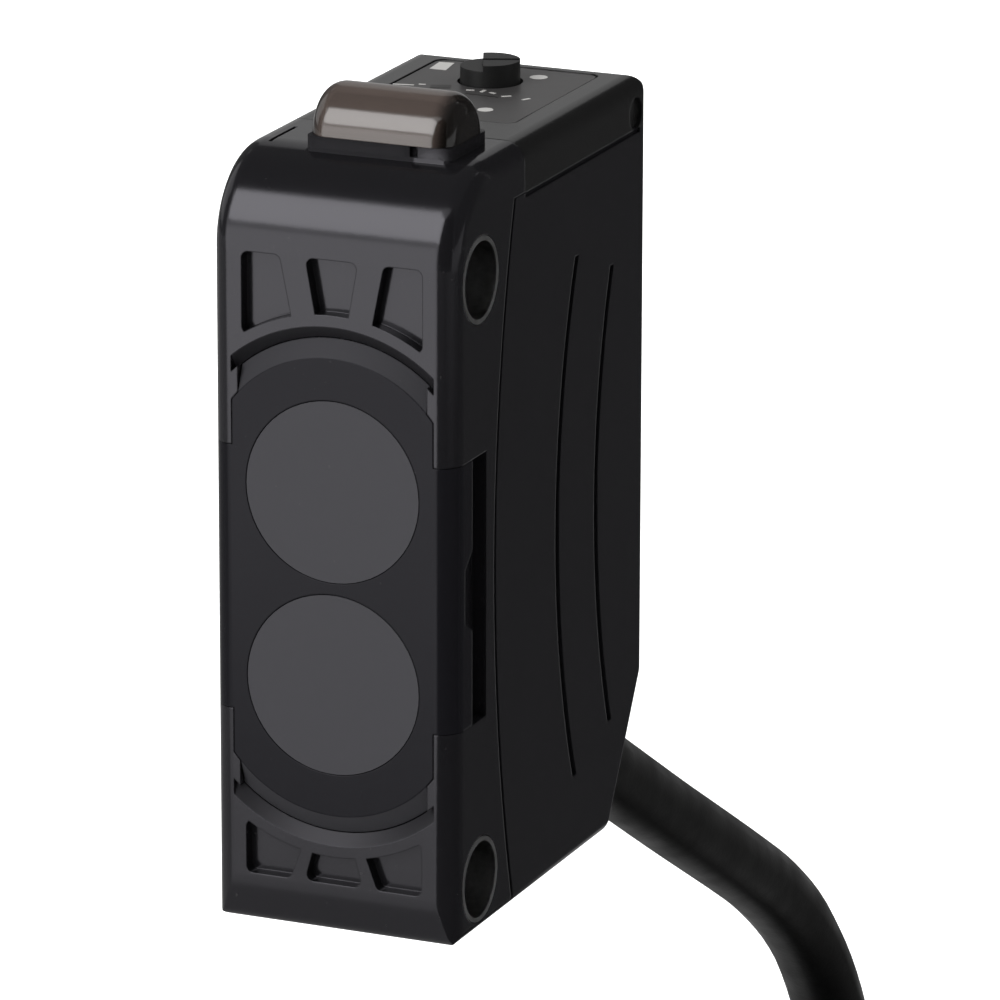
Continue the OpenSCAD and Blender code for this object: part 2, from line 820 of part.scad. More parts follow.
module sensor_board() {
    color([0.1, 0.35, 0.2])
    optics_slab(sensor_y, sensor_back);
}

module amplifier_chip() {
    color([0.12, 0.12, 0.12])
    translate([0.2, sensor_back, lens_z[0] - 1.5]) cube([2.4, 0.7, 3]);
}

// A thin metal box over the amplifier chip, open towards the sensor board
module shield_can() {
    color([0.75, 0.75, 0.76])
    translate([-0.2, sensor_back, lens_z[0] - 1.9]) difference() {
        cube([3.2, 1.1, 3.8]);
        translate([0.15, -eps, 0.15]) cube([2.9, 0.95 + eps, 3.5]);
    }
}

// ---------------------------------------------------------------- main board

module main_board() {
    top = trimmer_top;
    color([0.1, 0.35, 0.2])
    across(board_t, -board_x - board_t / 2) polygon([
        [sensor_back, room_low], [sensor_back + 2.6, room_low], [sensor_back + 2.6, board_foot],
        [back_y - 0.4, board_foot], [back_y - 0.4, top],
        [cover_y - 0.3, top], [cover_y - 0.3, shelf_z], [boss_y + 0.2, shelf_z],
        [boss_y + 0.2, room_high + 0.4], [sensor_back, room_high + 0.4],
    ]);
}

module control_chip() {
    color([0.12, 0.12, 0.12])
    translate([-board_x, sensor_back + 3.4, wing_mid + 1]) cube([0.9, 4, 4]);
}

module output_transistor() {
    color([0.12, 0.12, 0.12])
    translate([-board_x, sensor_back + 3.8, wing_mid - 0.9]) cube([1, 3, 1.6]);
}

module capacitors() {
    color([0.55, 0.45, 0.3])
    for (y = [0, 2.6]) translate([-board_x, sensor_back + 3.8 + y, wing_mid + 6.6]) cube([1.3, 1.6, 2.2]);
}

// ---------------------------------------------------------------- mounting sleeves

module sleeve(z) {
    color([0.75, 0.75, 0.76])
    difference() {
        cross_pin(sleeve_r, case_w, hole_in, z);
        cross_pin(hole_d / 2, case_w + 1, hole_in, z);
    }
}

module upper_sleeve() {
    sleeve(hole_high);
}

module lower_sleeve() {
    sleeve(hole_up);
}

// ---------------------------------------------------------------- cable inlet

// A round ring along the cable's axis, from depth a to depth b inside the chamfer
module inlet_ring(r_out, r_in, a, b) {
    along_exit() translate([0, 0, -b]) difference() {
        cylinder(r = r_out, h = b - a);
        translate([0, 0, -eps]) cylinder(r = r_in, h = b - a + 2 * eps);
    }
}

module cable_bush() {
    color([0.06, 0.06, 0.06]) inlet_ring(bush_r, cable_r + slip, 0, bush_l);
}

module cable_clamp() {
    color([0.75, 0.75, 0.76]) inlet_ring(bush_r, cable_r + slip, bush_l, bush_l + clamp_l);
}

module cable_root() {
    color([0.08, 0.08, 0.08]) along_exit() translate([0, 0, -root_l]) cylinder(r = cable_r, h = root_l);
}

// Three leads from inside the cable's end to their holes in the main board
module inner_leads() {
    colours = ["saddlebrown", "royalblue", "dimgray"];
    for (i = [0 : 2]) {
        start = [0.9 - 0.9 * i, exit_y, exit_z] - (root_l - 0.5) * exit_way;
        pad = [-board_x - board_t / 2, start.y - 2.4 + 1.3 * i, board_foot + 0.9];
        color(colours[i]) rod(start, pad, 0.35);
    }
}

// ---------------------------------------------------------------- free cable

// A smooth curve through four points at t from 0 to 1 between the middle two
function curve_at(p0, p1, p2, p3, t) =
    0.5 * (2 * p1 + (p2 - p0) * t + (2 * p0 - 5 * p1 + 4 * p2 - p3) * t * t
           + (3 * p1 - p0 - 3 * p2 + p3) * t * t * t);

// Points along a smooth curve through a route, about `gap` apart
function smooth_route(p, gap) = let (n = len(p) - 1) [
    for (i = [0 : n - 1])
        let (steps = max(1, ceil(norm(p[i + 1] - p[i]) / gap)),
             before = i == 0 ? 2 * p[0] - p[1] : p[i - 1],
             after = i == n - 1 ? 2 * p[n] - p[n - 1] : p[i + 2])
        for (k = [0 : steps - 1]) curve_at(before, p[i], p[i + 1], after, k / steps),
    p[n],
];

function unit(v) = v / norm(v);

// Direction of a route at its point i
function heading(p, i) = unit(p[min(i + 1, len(p) - 1)] - p[max(i - 1, 0)]);

// A tube of radius r swept along a route in an upright plane across x, with its first face square to `way`
module swept_tube(points, r, way) {
    p = smooth_route(points, ring_gap);
    n = len(p);
    side = [1, 0, 0];
    rings = [for (i = [0 : n - 1]) let (h = i == 0 ? way : heading(p, i), up = cross(h, side))
        for (k = [0 : tube_sides - 1]) let (a = 360 * (k + 0.5) / tube_sides)
            p[i] + r * (cos(a) * side + sin(a) * up)];
    walls = [for (i = [0 : n - 2]) for (k = [0 : tube_sides - 1]) let (m = (k + 1) % tube_sides)
        [i * tube_sides + k, i * tube_sides + m, (i + 1) * tube_sides + m, (i + 1) * tube_sides + k]];
    start = [for (k = [tube_sides - 1 : -1 : 0]) k];
    end = [for (k = [0 : tube_sides - 1]) (n - 1) * tube_sides + k];
    polyhedron(rings, concat([start, end], walls), convexity = 10);
}

module cable() {
    color([0.08, 0.08, 0.08]) swept_tube(concat([exit_point], lead_points), cable_r, exit_way);
}

module cable_tail() {
    color([0.08, 0.08, 0.08]) swept_tube(tail_points, cable_r, [0, 0, -1]);
}

// The coil's section across its turns, as radius and width
module coil_section(gap = 0) {
    soft = cable_r * 0.9;
    low = coil_hole_r - gap;
    translate([low, -coil_w / 2 - gap]) difference() {
        square([coil_out_r - coil_hole_r + 2 * gap, coil_w + 2 * gap]);
        fillet_cut(soft, 1, 1);
        translate([coil_out_r - coil_hole_r + 2 * gap, 0]) fillet_cut(soft, -1, 1);
        translate([0, coil_w + 2 * gap]) fillet_cut(soft, 1, -1);
        translate([coil_out_r - coil_hole_r + 2 * gap, coil_w + 2 * gap]) fillet_cut(soft, -1, -1);
    }
}

// Children drawn round the coil's axis
module at_coil() {
    translate([coil_x, coil_y, coil_z]) rotate([0, 90, 0]) children();
}

module cable_coil() {
    color([0.08, 0.08, 0.08]) at_coil() rotate_extrude($fn = 96) coil_section();
}

// A strap round the coil's section, with its head on the outside
module cable_tie() {
    gap = 0.12;
    color([0.12, 0.12, 0.12])
    at_coil() rotate([0, 0, tie_angle]) {
        translate([0, tie_w / 2, 0]) rotate([90, 0, 0]) linear_extrude(height = tie_w) difference() {
            coil_section(gap + tie_t);
            coil_section(gap);
        }
        translate([coil_out_r + gap + tie_t - 0.2, -tie_w / 2 - 0.8, -2.2]) cube([2.6, tie_w + 1.6, 4.4]);
    }
}

// ---------------------------------------------------------------- bare conductors

tail_end = tail_points[len(tail_points) - 1];
tail_way = unit(tail_end - tail_points[len(tail_points) - 2]);

// Direction and start of conductor i
function core_way(i) = unit(tail_way + [tan(core_lean[i][0]), tan(core_lean[i][1]), 0]);
function core_start(i) = tail_end - core_sunk * tail_way
    + 0.62 * core_d * [cos(120 * i + 90), sin(120 * i + 90), 0];
function core_end(i) = core_start(i) + (core_l + core_sunk) * core_way(i);

module conductor(i) {
    rod(core_start(i), core_end(i), core_d / 2);
}

module brown_wire() {
    color([0.35, 0.18, 0.08]) conductor(0);
}

module blue_wire() {
    color([0.1, 0.25, 0.7]) conductor(1);
}

module black_wire() {
    color([0.06, 0.06, 0.06]) conductor(2);
}

module wire_tips() {
    color([0.8, 0.8, 0.8])
    for (i = [0 : 2]) rod(core_end(i), core_end(i) + tip_l * core_way(i), tip_d / 2);
}

// ---------------------------------------------------------------- nodes

in_mount_frame() front_case();
in_mount_frame() rear_case();
in_mount_frame() top_cover();
in_mount_frame() control_film();
in_mount_frame() front_window();
in_mount_frame() emitter_lens();
in_mount_frame() receiver_lens();
in_mount_frame() window_seal();
in_mount_frame() optical_block();
in_mount_frame() emitter_led();
in_mount_frame() receiver_photodiode();
in_mount_frame() sensor_board();
in_mount_frame() amplifier_chip();
in_mount_frame() shield_can();
in_mount_frame() main_board();
in_mount_frame() control_chip();
in_mount_frame() output_transistor();
in_mount_frame() capacitors();
in_mount_frame() indicator_board();
in_mount_frame() output_indicator();
in_mount_frame() stability_indicator();
in_mount_frame() indicator_window();
in_mount_frame() trimmer_body();
in_mount_frame() trimmer_rotor();
in_mount_frame() sensitivity_dial();
in_mount_frame() dial_seal();
in_mount_frame() upper_sleeve();
in_mount_frame() lower_sleeve();
in_mount_frame() cable_bush();
in_mount_frame() cable_clamp();
in_mount_frame() cable_root();
in_mount_frame() inner_leads();
cable();
cable_coil();
cable_tail();
cable_tie();
brown_wire();
blue_wire();
black_wire();
wire_tips();
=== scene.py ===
"""A compact photoelectric sensor with its cable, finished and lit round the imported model.

The file is laid out as an add-on: the settings hold the sizes and colours, each operator
finishes a piece or a group of pieces, and the panel lists them. Run as a script, it does
all of them in order.
"""

import math

import bmesh
import bpy
from bpy.props import FloatProperty, FloatVectorProperty, IntProperty, PointerProperty
from bpy.types import Operator, Panel, PropertyGroup
from mathutils import Matrix, Vector


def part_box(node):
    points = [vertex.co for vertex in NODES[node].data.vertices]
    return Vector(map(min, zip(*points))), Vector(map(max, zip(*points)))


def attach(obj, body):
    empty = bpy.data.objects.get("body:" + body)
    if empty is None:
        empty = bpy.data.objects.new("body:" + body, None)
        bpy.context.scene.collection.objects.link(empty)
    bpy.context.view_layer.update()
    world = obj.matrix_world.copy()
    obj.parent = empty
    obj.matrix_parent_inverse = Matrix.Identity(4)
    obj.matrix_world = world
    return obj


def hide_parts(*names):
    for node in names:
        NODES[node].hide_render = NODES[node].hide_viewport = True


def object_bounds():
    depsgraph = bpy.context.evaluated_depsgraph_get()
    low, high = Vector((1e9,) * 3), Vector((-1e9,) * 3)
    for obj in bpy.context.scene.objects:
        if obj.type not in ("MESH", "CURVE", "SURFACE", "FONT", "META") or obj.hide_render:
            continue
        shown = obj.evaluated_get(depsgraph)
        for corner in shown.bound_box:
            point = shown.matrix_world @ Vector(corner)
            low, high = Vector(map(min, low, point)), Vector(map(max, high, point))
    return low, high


bl_info = {
    "name": "Photoelectric Sensor",
    "version": (1, 0, 0),
    "blender": (4, 5, 0),
    "location": "View3D > Sidebar > Sensor",
    "description": "Finishes, cable and stage of a compact photoelectric sensor",
    "category": "Object",
}

MM = 0.001
# Radii of the sunken band round the lens axes: the window's slope, the valley, the case's slope
BAND_RADII = (5.6 * MM, 6.38 * MM, 6.95 * MM)
# How far the band reaches to each side, and how deep it lies behind the front face
BAND_SIDE, BAND_DEPTH = 4.45 * MM, 0.5 * MM
# Width over which a mask that follows an edge fades
BLUR = 0.05 * MM
# How much rounder the collar's edges are than the rest, where its notch is along X, and how far
# its foot lies below the top; the notch and the foot also bound the collar's painted shade
COLLAR_ROUND, COLLAR_NOTCH, COLLAR_FOOT = 0.8 * MM, (2.3 * MM, 2.45 * MM), 0.35 * MM
# The tint of reflections on the black mouldings
COOL = (0.94, 0.92, 1.0)
METAL_RELIEF = 0.001 * MM
STEEL_ROUGHNESS = 0.34

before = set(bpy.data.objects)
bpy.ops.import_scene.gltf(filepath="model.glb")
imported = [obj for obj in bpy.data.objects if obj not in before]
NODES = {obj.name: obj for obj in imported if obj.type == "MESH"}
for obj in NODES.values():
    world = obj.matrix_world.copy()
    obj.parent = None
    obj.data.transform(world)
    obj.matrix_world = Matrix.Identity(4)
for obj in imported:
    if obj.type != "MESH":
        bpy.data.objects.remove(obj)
CAD_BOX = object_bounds()


# ---------------------------------------------------------------- settings

def colour_property(name, description, default):
    return FloatVectorProperty(
        name=name, description=description, default=default, size=3, min=0, max=1, subtype="COLOR"
    )


def length_property(name, description, default):
    return FloatProperty(
        name=name, description=description, default=default, min=0, unit="LENGTH", precision=5
    )


class CableSettings(PropertyGroup):
    diameter: length_property("Diameter", "Diameter of the cable's jacket", 3.5 * MM)
    length: length_property("Length", "Length of the cable from the case to its stripped end", 2.0)
    coil_hole: length_property("Coil hole", "Radius of the hole in the coil", 12 * MM)
    columns: IntProperty(
        name="Columns", description="Turns side by side in the coil", default=4, min=1)
    layers: IntProperty(
        name="Layers", description="Turns on top of each other in the coil", default=4, min=1)
    core: length_property("Conductor", "Diameter of an insulated conductor", 1 * MM)
    tip: length_property("Tip", "Length of the tinned end of a conductor", 4 * MM)


class ColourSettings(PropertyGroup):
    case: colour_property("Case", "Moulded plastic of the case", (0.0095, 0.0092, 0.0105))
    cover: colour_property("Cover", "Moulded plastic of the top cover", (0.0105, 0.0105, 0.0105))
    film: colour_property("Film", "Control film on the top", (0.062, 0.060, 0.060))
    marks: colour_property("Marks", "Printed marks on the film", (0.6, 0.59, 0.57))
    window: colour_property("Window", "Front window round the lenses", (0.008, 0.0078, 0.0095))
    lens: colour_property("Lens", "Infrared lenses", (0.048, 0.047, 0.053))
    smoke: colour_property("Smoke", "Tinted plastic of the indicator window", (0.135, 0.104, 0.09))
    dial: colour_property("Dial", "Sensitivity dial", (0.012, 0.012, 0.012))
    jacket: colour_property("Jacket", "Cable jacket", (0.0065, 0.0065, 0.0065))


class SurfaceSettings(PropertyGroup):
    grain: length_property("Grain", "Size of the moulded plastic's grain", 0.16 * MM)
    relief: length_property("Relief", "Height of the moulded plastic's grain", 0.0015 * MM)
    edge: length_property("Edge", "Radius of the moulded edges", 0.07 * MM)


class StageSettings(PropertyGroup):
    camera_place: FloatVectorProperty(
        name="Camera", description="Place of the camera",
        default=(0.12752, -0.28270, 0.09479), size=3, unit="LENGTH")
    camera_aim: FloatVectorProperty(
        name="Aim", description="Point the camera looks at",
        default=(0.00394, 0.0054, 0.001863), size=3, unit="LENGTH")
    camera_roll: FloatProperty(
        name="Roll", description="Turn of the camera about its line of sight",
        default=math.radians(0.127), subtype="ANGLE")
    focal: FloatProperty(
        name="Focal length", description="Focal length of the lens", default=286.235,
        min=1, unit="CAMERA")
    key: FloatProperty(name="Key", description="Power of the main soft light", default=0.87,
                       min=0, unit="POWER")
    soft: FloatProperty(name="Soft", description="Power of the soft light with no reflection",
                        default=4.4, min=0, unit="POWER")
    fill: FloatProperty(name="Fill", description="Power of the soft light from the left",
                        default=0.3, min=0, unit="POWER")
    ambient: FloatProperty(name="Ambient", description="Strength of the light from all round",
                           default=0.25, min=0)
    floor_gap: length_property(
        "Floor gap", "Distance of the floor below the lowest piece", 14 * MM)


# ---------------------------------------------------------------- shader nodes

class Wiring:
    """Adds nodes to a tree. A value is a number, a colour, a vector or another node's output."""

    def __init__(self, tree):
        self.tree = tree

    def add(self, kind, places=(), settings=None, **named):
        node = self.tree.nodes.new("ShaderNode" + kind)
        for key, value in (settings or {}).items():
            setattr(node, key, value)
        for socket, value in zip(node.inputs, places):
            self.feed(socket, value)
        for key, value in named.items():
            self.feed(node.inputs[key.replace("_", " ")], value)
        return node

    def feed(self, socket, value):
        if value is None:
            return
        if isinstance(value, bpy.types.NodeSocket):
            self.tree.links.new(value, socket)
        else:
            if hasattr(socket.default_value, "__len__") and len(socket.default_value) == 4:
                value = (*value, 1)[:4]
            socket.default_value = value

    def math(self, operation, a, b=None, c=None, clamp=False):
        node = self.add("Math", [a, b, c], {"operation": operation, "use_clamp": clamp})
        return node.outputs[0]

    def noise(self, place, size, detail=2.0, roughness=0.5, distortion=0.0):
        """Noise whose lumps are about `size` across; size is a length or an output."""
        if isinstance(size, bpy.types.NodeSocket):
            scale = self.math("DIVIDE", 1, size)
        else:
            scale = 1 / size
        return self.add("TexNoise", Vector=place, Scale=scale, Detail=detail,
                        Roughness=roughness, Distortion=distortion).outputs[0]

    def range(self, value, low, high, to_low=0.0, to_high=1.0):
        """Maps value from low..high to to_low..to_high, held at both ends."""
        return self.add("MapRange", [value, low, high, to_low, to_high],
                        {"interpolation_type": "SMOOTHSTEP"}).outputs[0]

    def blend(self, share, a, b, kind="MIX"):
        """A colour between a and b, or their product, sum and so on."""
        node = self.add("Mix", settings={"data_type": "RGBA", "blend_type": kind})
        for index, value in ((0, share), (6, a), (7, b)):
            self.feed(node.inputs[index], value)
        return node.outputs[2]

    def place(self):
        """The object's own coordinates."""
        return self.add("TexCoord").outputs["Object"]

    def axes(self):
        """The object's own coordinates, one by one."""
        return self.add("SeparateXYZ", [self.place()]).outputs[:3]

    def grey(self, shade):
        """A grey as bright as an output."""
        return self.add("CombineColor", [shade, shade, shade]).outputs[0]


def group(name, inputs, outputs):
    """A new node group with float, colour or vector sockets; gives its wiring and both ends."""
    tree = bpy.data.node_groups.new(name, "ShaderNodeTree")
    kinds = {"f": "NodeSocketFloat", "c": "NodeSocketColor", "v": "NodeSocketVector"}
    for sockets, way in ((inputs, "INPUT"), (outputs, "OUTPUT")):
        for title, (kind, default) in sockets.items():
            socket = tree.interface.new_socket(title, in_out=way, socket_type=kinds[kind])
            if way == "INPUT":
                socket.default_value = (*default, 1) if kind == "c" else default
    wiring = Wiring(tree)
    start = tree.nodes.new("NodeGroupInput")
    end = tree.nodes.new("NodeGroupOutput")
    return wiring, start.outputs, end.inputs


def make_moulded_grain():
    """Fine grain, slow flow marks and a little dust, as a moulding has."""
    w, given, result = group(
        "Moulded grain",
        {"Colour": ("c", (0.05, 0.05, 0.05)), "Grain": ("f", 0.16 * MM), "Spread": ("f", 0.1),
         "Dust": ("f", 0.0), "Roughness": ("f", 0.4), "Roughness spread": ("f", 0.06)},
        {"Color": ("c", None), "Roughness": ("f", None), "Height": ("f", None)})
    place = w.place()
    fine = w.noise(place, given["Grain"], 3, 0.62)
    flow = w.noise(place, 4.5 * MM, 3, 0.55, 0.6)
    specks = w.noise(place, 0.22 * MM, 1, 0.4)
    dark = w.math("SUBTRACT", 1, given["Spread"])
    light = w.math("ADD", 1, given["Spread"])
    shade = w.math("MULTIPLY_ADD", w.math("SUBTRACT", light, dark),
                   w.math("MULTIPLY_ADD", fine, 0.5, w.math("MULTIPLY", flow, 0.5)), dark)
    tone = w.grey(shade)
    colour = w.blend(1, given["Colour"], tone, "MULTIPLY")
    dust = w.math("MULTIPLY", w.range(specks, 0.76, 0.84), given["Dust"])
    w.feed(result["Color"], w.blend(dust, colour, (0.35, 0.34, 0.33)))
    uneven = w.math("MULTIPLY_ADD", flow, 0.7, w.math("MULTIPLY", fine, 0.3))
    swing = w.math("SUBTRACT", uneven, 0.5)
    rough = w.math("MULTIPLY_ADD", swing, w.math("MULTIPLY", given["Roughness spread"], 4),
                   given["Roughness"])
    w.feed(result["Roughness"], w.math("ADD", rough, w.math("MULTIPLY", dust, 0.4), clamp=True))
    w.feed(result["Height"], fine)


def make_soft_edge():
    """Rounds sharp edges in the shading."""
    w, given, result = group(
        "Soft edge", {"Radius": ("f", 0.07 * MM)}, {"Normal": ("v", None)})
    bevel = w.add("Bevel", Radius=given["Radius"], settings={"samples": 6})
    w.feed(result["Normal"], bevel.outputs[0])


def make_turned_metal():
    """Fine rings round the X axis, as a lathe leaves them, with faint stains."""
    w, given, result = group(
        "Turned metal", {"Colour": ("c", (0.6, 0.6, 0.6)), "Roughness": ("f", 0.3)},
        {"Color": ("c", None), "Roughness": ("f", None), "Height": ("f", None)})
    rings = w.noise(w.add("Mapping", Vector=w.place(), Scale=(1, 0.02, 0.02)).outputs[0],
                    0.04 * MM, 2, 0.6)
    stain = w.noise(w.place(), 1.2 * MM, 4, 0.6)
    shade = w.range(stain, 0.35, 0.7, 0.72, 1.05)
    tone = w.grey(shade)
    w.feed(result["Color"], w.blend(1, given["Colour"], tone, "MULTIPLY"))
    w.feed(result["Roughness"], w.math(
        "ADD", given["Roughness"], w.math("MULTIPLY", w.math("SUBTRACT", rings, 0.5), 0.25),
        clamp=True))
    w.feed(result["Height"], rings)


def make_drawn_sheath():
    """Slow waves along an extruded sheath and the fine lines that the die leaves in it."""
    w, given, result = group(
        "Drawn sheath", {"Colour": ("c", (0.02, 0.02, 0.02)), "Roughness": ("f", 0.4)},
        {"Color": ("c", None), "Roughness": ("f", None), "Height": ("f", None)})
    place = w.place()
    waves = w.noise(place, 2.2 * MM, 2, 0.5)
    grain = w.noise(place, 0.18 * MM, 3, 0.6)
    shade = w.math("MULTIPLY_ADD", waves, 0.35, 0.82)
    tone = w.grey(shade)
    w.feed(result["Color"], w.blend(1, given["Colour"], tone, "MULTIPLY"))
    w.feed(result["Roughness"], w.math(
        "ADD", given["Roughness"], w.math("MULTIPLY", w.math("SUBTRACT", waves, 0.5), 0.3),
        clamp=True))
    w.feed(result["Height"], w.math("MULTIPLY_ADD", grain, 0.35, waves))


def make_sunken_band():
    """Masks a ring round both lenses, near the front face and inside its rounded edges."""
    w, given, result = group(
        "Sunken band", {"Inner": ("f", BAND_RADII[0]), "Outer": ("f", BAND_RADII[1])},
        {"Band": ("f", None)})
    x, y, z = w.axes()
    ends = [sum(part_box(lens), Vector()).z / 2 for lens in ("emitter_lens", "receiver_lens")]
    middle, reach = sum(ends) / 2, abs(ends[0] - ends[1]) / 2
    beyond = w.math("SUBTRACT", w.math("ABSOLUTE", w.math("SUBTRACT", z, middle)), reach)
    beyond = w.math("MAXIMUM", beyond, 0)
    out_by = w.math("SQRT", w.math("MULTIPLY_ADD", x, x, w.math("MULTIPLY", beyond, beyond)))
    ring = w.math("MULTIPLY",
                  w.math("DIVIDE", w.math("SUBTRACT", out_by, given["Inner"]), BLUR, clamp=True),
                  w.math("DIVIDE", w.math("SUBTRACT", given["Outer"], out_by), BLUR, clamp=True))
    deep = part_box("front_case")[0].y + BAND_DEPTH
    near = w.range(y, deep + 0.1 * MM, deep)
    inside = w.range(w.math("ABSOLUTE", x), BAND_SIDE, BAND_SIDE - BLUR)
    w.feed(result["Band"], w.math("MULTIPLY", ring, w.math("MULTIPLY", near, inside)))


GROUPS = {
    "Sunken band": make_sunken_band,
    "Moulded grain": make_moulded_grain,
    "Soft edge": make_soft_edge,
    "Turned metal": make_turned_metal,
    "Drawn sheath": make_drawn_sheath,
}


def place_group(wiring, name, **named):
    """Places a shared group in a material, and makes it the first time."""
    if name not in bpy.data.node_groups:
        GROUPS[name]()
    node = wiring.tree.nodes.new("ShaderNodeGroup")
    node.node_tree = bpy.data.node_groups[name]
    for key, value in named.items():
        wiring.feed(node.inputs[key.replace("_", " ")], value)
    return node.outputs


def new_material(name):
    """A material with an empty Principled shader; gives both and the wiring."""
    material = bpy.data.materials.new(name)
    material.use_nodes = True
    skin = material.node_tree.nodes["Principled BSDF"]
    return material, skin, Wiring(material.node_tree)


def dress(skin, wiring, colour, roughness, height, relief, edge=0.0, **plain):
    """Feeds the shader from a group, with bump and softened edges; plain values stay on it."""
    wiring.feed(skin.inputs["Base Color"], colour)
    wiring.feed(skin.inputs["Roughness"], roughness)
    normal = place_group(wiring, "Soft edge", Radius=edge)["Normal"] if edge else None
    bump = wiring.add("Bump", Strength=1.0, Distance=relief, Height=height, Normal=normal)
    wiring.feed(skin.inputs["Normal"], bump.outputs[0])
    for key, value in plain.items():
        wiring.feed(skin.inputs[key.replace("_", " ")], value)


def settings():
    """What the panel shows."""
    return bpy.context.scene.sensor


def moulded(name, colour, roughness, grain=None, relief=None, edge=None, spread=0.1,
            dust=0.0, roughness_spread=0.05, **plain):
    """Moulded plastic with grain, flow marks and softened edges."""
    surface = settings().surface
    material, skin, w = new_material(name)
    out = place_group(w, "Moulded grain", Colour=colour, Grain=grain or surface.grain,
                      Spread=spread, Dust=dust, Roughness=roughness,
                      Roughness_spread=roughness_spread)
    dress(skin, w, out["Color"], out["Roughness"], out["Height"],
          surface.relief if relief is None else relief,
          surface.edge if edge is None else edge, **plain)
    return material


def sheathed(name, colour, roughness, relief=0.03 * MM, **plain):
    """Extruded plastic round a cable or a conductor."""
    material, skin, w = new_material(name)
    out = place_group(w, "Drawn sheath", Colour=colour, Roughness=roughness)
    dress(skin, w, out["Color"], out["Roughness"], out["Height"], relief, **plain)
    return material


def turned(name, roughness, colour, end_colour=None, end=0.0, edge=0.03 * MM):
    """Plated metal with fine lathe rings, in another colour on the faces at +end and -end of X; on
    the sleeves the darker bore is painted shade.
    """
    material, skin, w = new_material(name)
    if end_colour:
        face = w.range(w.math("ABSOLUTE", w.axes()[0]), end - 0.08 * MM, end - 0.02 * MM)
        colour = w.blend(face, colour, end_colour)
    out = place_group(w, "Turned metal", Colour=colour, Roughness=roughness)
    dress(skin, w, out["Color"], out["Roughness"], out["Height"], METAL_RELIEF, edge,
          Metallic=1.0)
    return material


def assign(material, *nodes):
    """Gives CAD nodes their material."""
    for name in nodes:
        slots = NODES[name].data.materials
        slots.clear()
        slots.append(material)


# ---------------------------------------------------------------- making pieces

def link(obj):
    """Puts an object in the scene."""
    bpy.context.scene.collection.objects.link(obj)
    return obj


def smooth_through(points, gap):
    """Points along a smooth curve through a route, about `gap` apart."""
    p = [Vector(q) for q in points]
    out = []
    for i in range(len(p) - 1):
        before = p[i - 1] if i else 2 * p[0] - p[1]
        after = p[i + 2] if i + 2 < len(p) else 2 * p[-1] - p[-2]
        steps = max(1, math.ceil((p[i + 1] - p[i]).length / gap))
        for k in range(steps):
            t = k / steps
            out.append(0.5 * (2 * p[i] + (p[i + 1] - before) * t
                              + (2 * before - 5 * p[i] + 4 * p[i + 1] - after) * t * t
                              + (3 * p[i] - before - 3 * p[i + 1] + after) * t ** 3))
    out.append(p[-1])
    return out


def round_line(name, points, radius, sides=4):
    """A curve object of one open line with a round section and closed ends."""
    data = bpy.data.curves.new(name, "CURVE")
    data.dimensions = "3D"
    data.bevel_depth = radius
    data.bevel_resolution = sides
    data.use_fill_caps = True
    spline = data.splines.new("POLY")
    spline.points.add(len(points) - 1)
    for point, place in zip(spline.points, points):
        point.co = (*place, 1)
    spline.use_smooth = True
    return link(bpy.data.objects.new(name, data))


def mesh_piece(name, bm, smooth=True):
    """A mesh object from a bmesh, with outward faces."""
    bmesh.ops.recalc_face_normals(bm, faces=bm.faces)
    for face in bm.faces:
        face.smooth = smooth
    mesh = bpy.data.meshes.new(name)
    bm.to_mesh(mesh)
    bm.free()
    return link(bpy.data.objects.new(name, mesh))


def finish_piece(obj, material, body="root"):
    """Gives a made piece its material and the body it moves with."""
    obj.data.materials.append(material)
    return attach(obj, body)


# ---------------------------------------------------------------- stage

# The way to each lamp from the middle of the view, its distance and size, and its share of one
# of the stage's powers. The soft ones give no reflection.
LAMPS = {
    "key_light": ((-0.33, -0.74, 0.59), 0.5, (0.33, 0.30), "key", 1),
    "fill_light": ((-0.93, 0.1, 0.35), 0.6, (0.4, 0.4), "fill", 1),
    "front_soft": ((-0.33, -0.85, 0.4), 0.9, (0.8, 0.8), "soft", 1),
    "right_soft": ((0.8, 0.5, 0.33), 0.9, (0.8, 0.8), "soft", 0.9),
    "rear_soft": ((-0.5, 0.8, 0.33), 0.9, (0.8, 0.8), "soft", 0.9),
}
# Cards that only reflections see, in metres in the mount frame. On the ground: brightness and
# corners. Upright ones: brightness, both lower corners and height.
GROUND_CARDS = {
    "bright_ground": (1.85, [(-0.045, -0.33), (-0.14, -1.0), (-1.0, -1.0), (-0.33, -0.33)]),
    "right_ground": (0.02, [(0.0, -0.03), (-0.075, -0.55), (0.3, -0.45), (0.53, 0.0),
                            (0.5, 0.12), (0.0, 0.12)]),
    "far_right_ground": (0.3, [(-0.075, -0.55), (-0.14, -1.0), (1.2, -1.0), (1.2, 0.12),
                               (0.5, 0.12), (0.53, 0.0), (0.3, -0.45)]),
    "left_ground": (0.3, [(-0.2, -0.2), (-1.0, -1.0), (-1.2, 0.12), (-0.2, 0.12)]),
    "near_ground": (0.72, [(-0.03, -0.2), (-0.045, -0.33), (-0.33, -0.33), (-0.2, -0.2)]),
    "foot_ground": (0.32, [(0.0, 0.12), (0.0, -0.03), (-0.03, -0.2), (-0.2, -0.2),
                           (-0.2, 0.12)]),
    "rear_ground": (0.05, [(0.03, 0.12), (1.2, 0.12), (1.2, 1.2), (0.1, 1.2)]),
    "rear_left_ground": (0.4, [(-1.2, 0.12), (0.03, 0.12), (0.1, 1.2), (-1.2, 1.2)]),
}
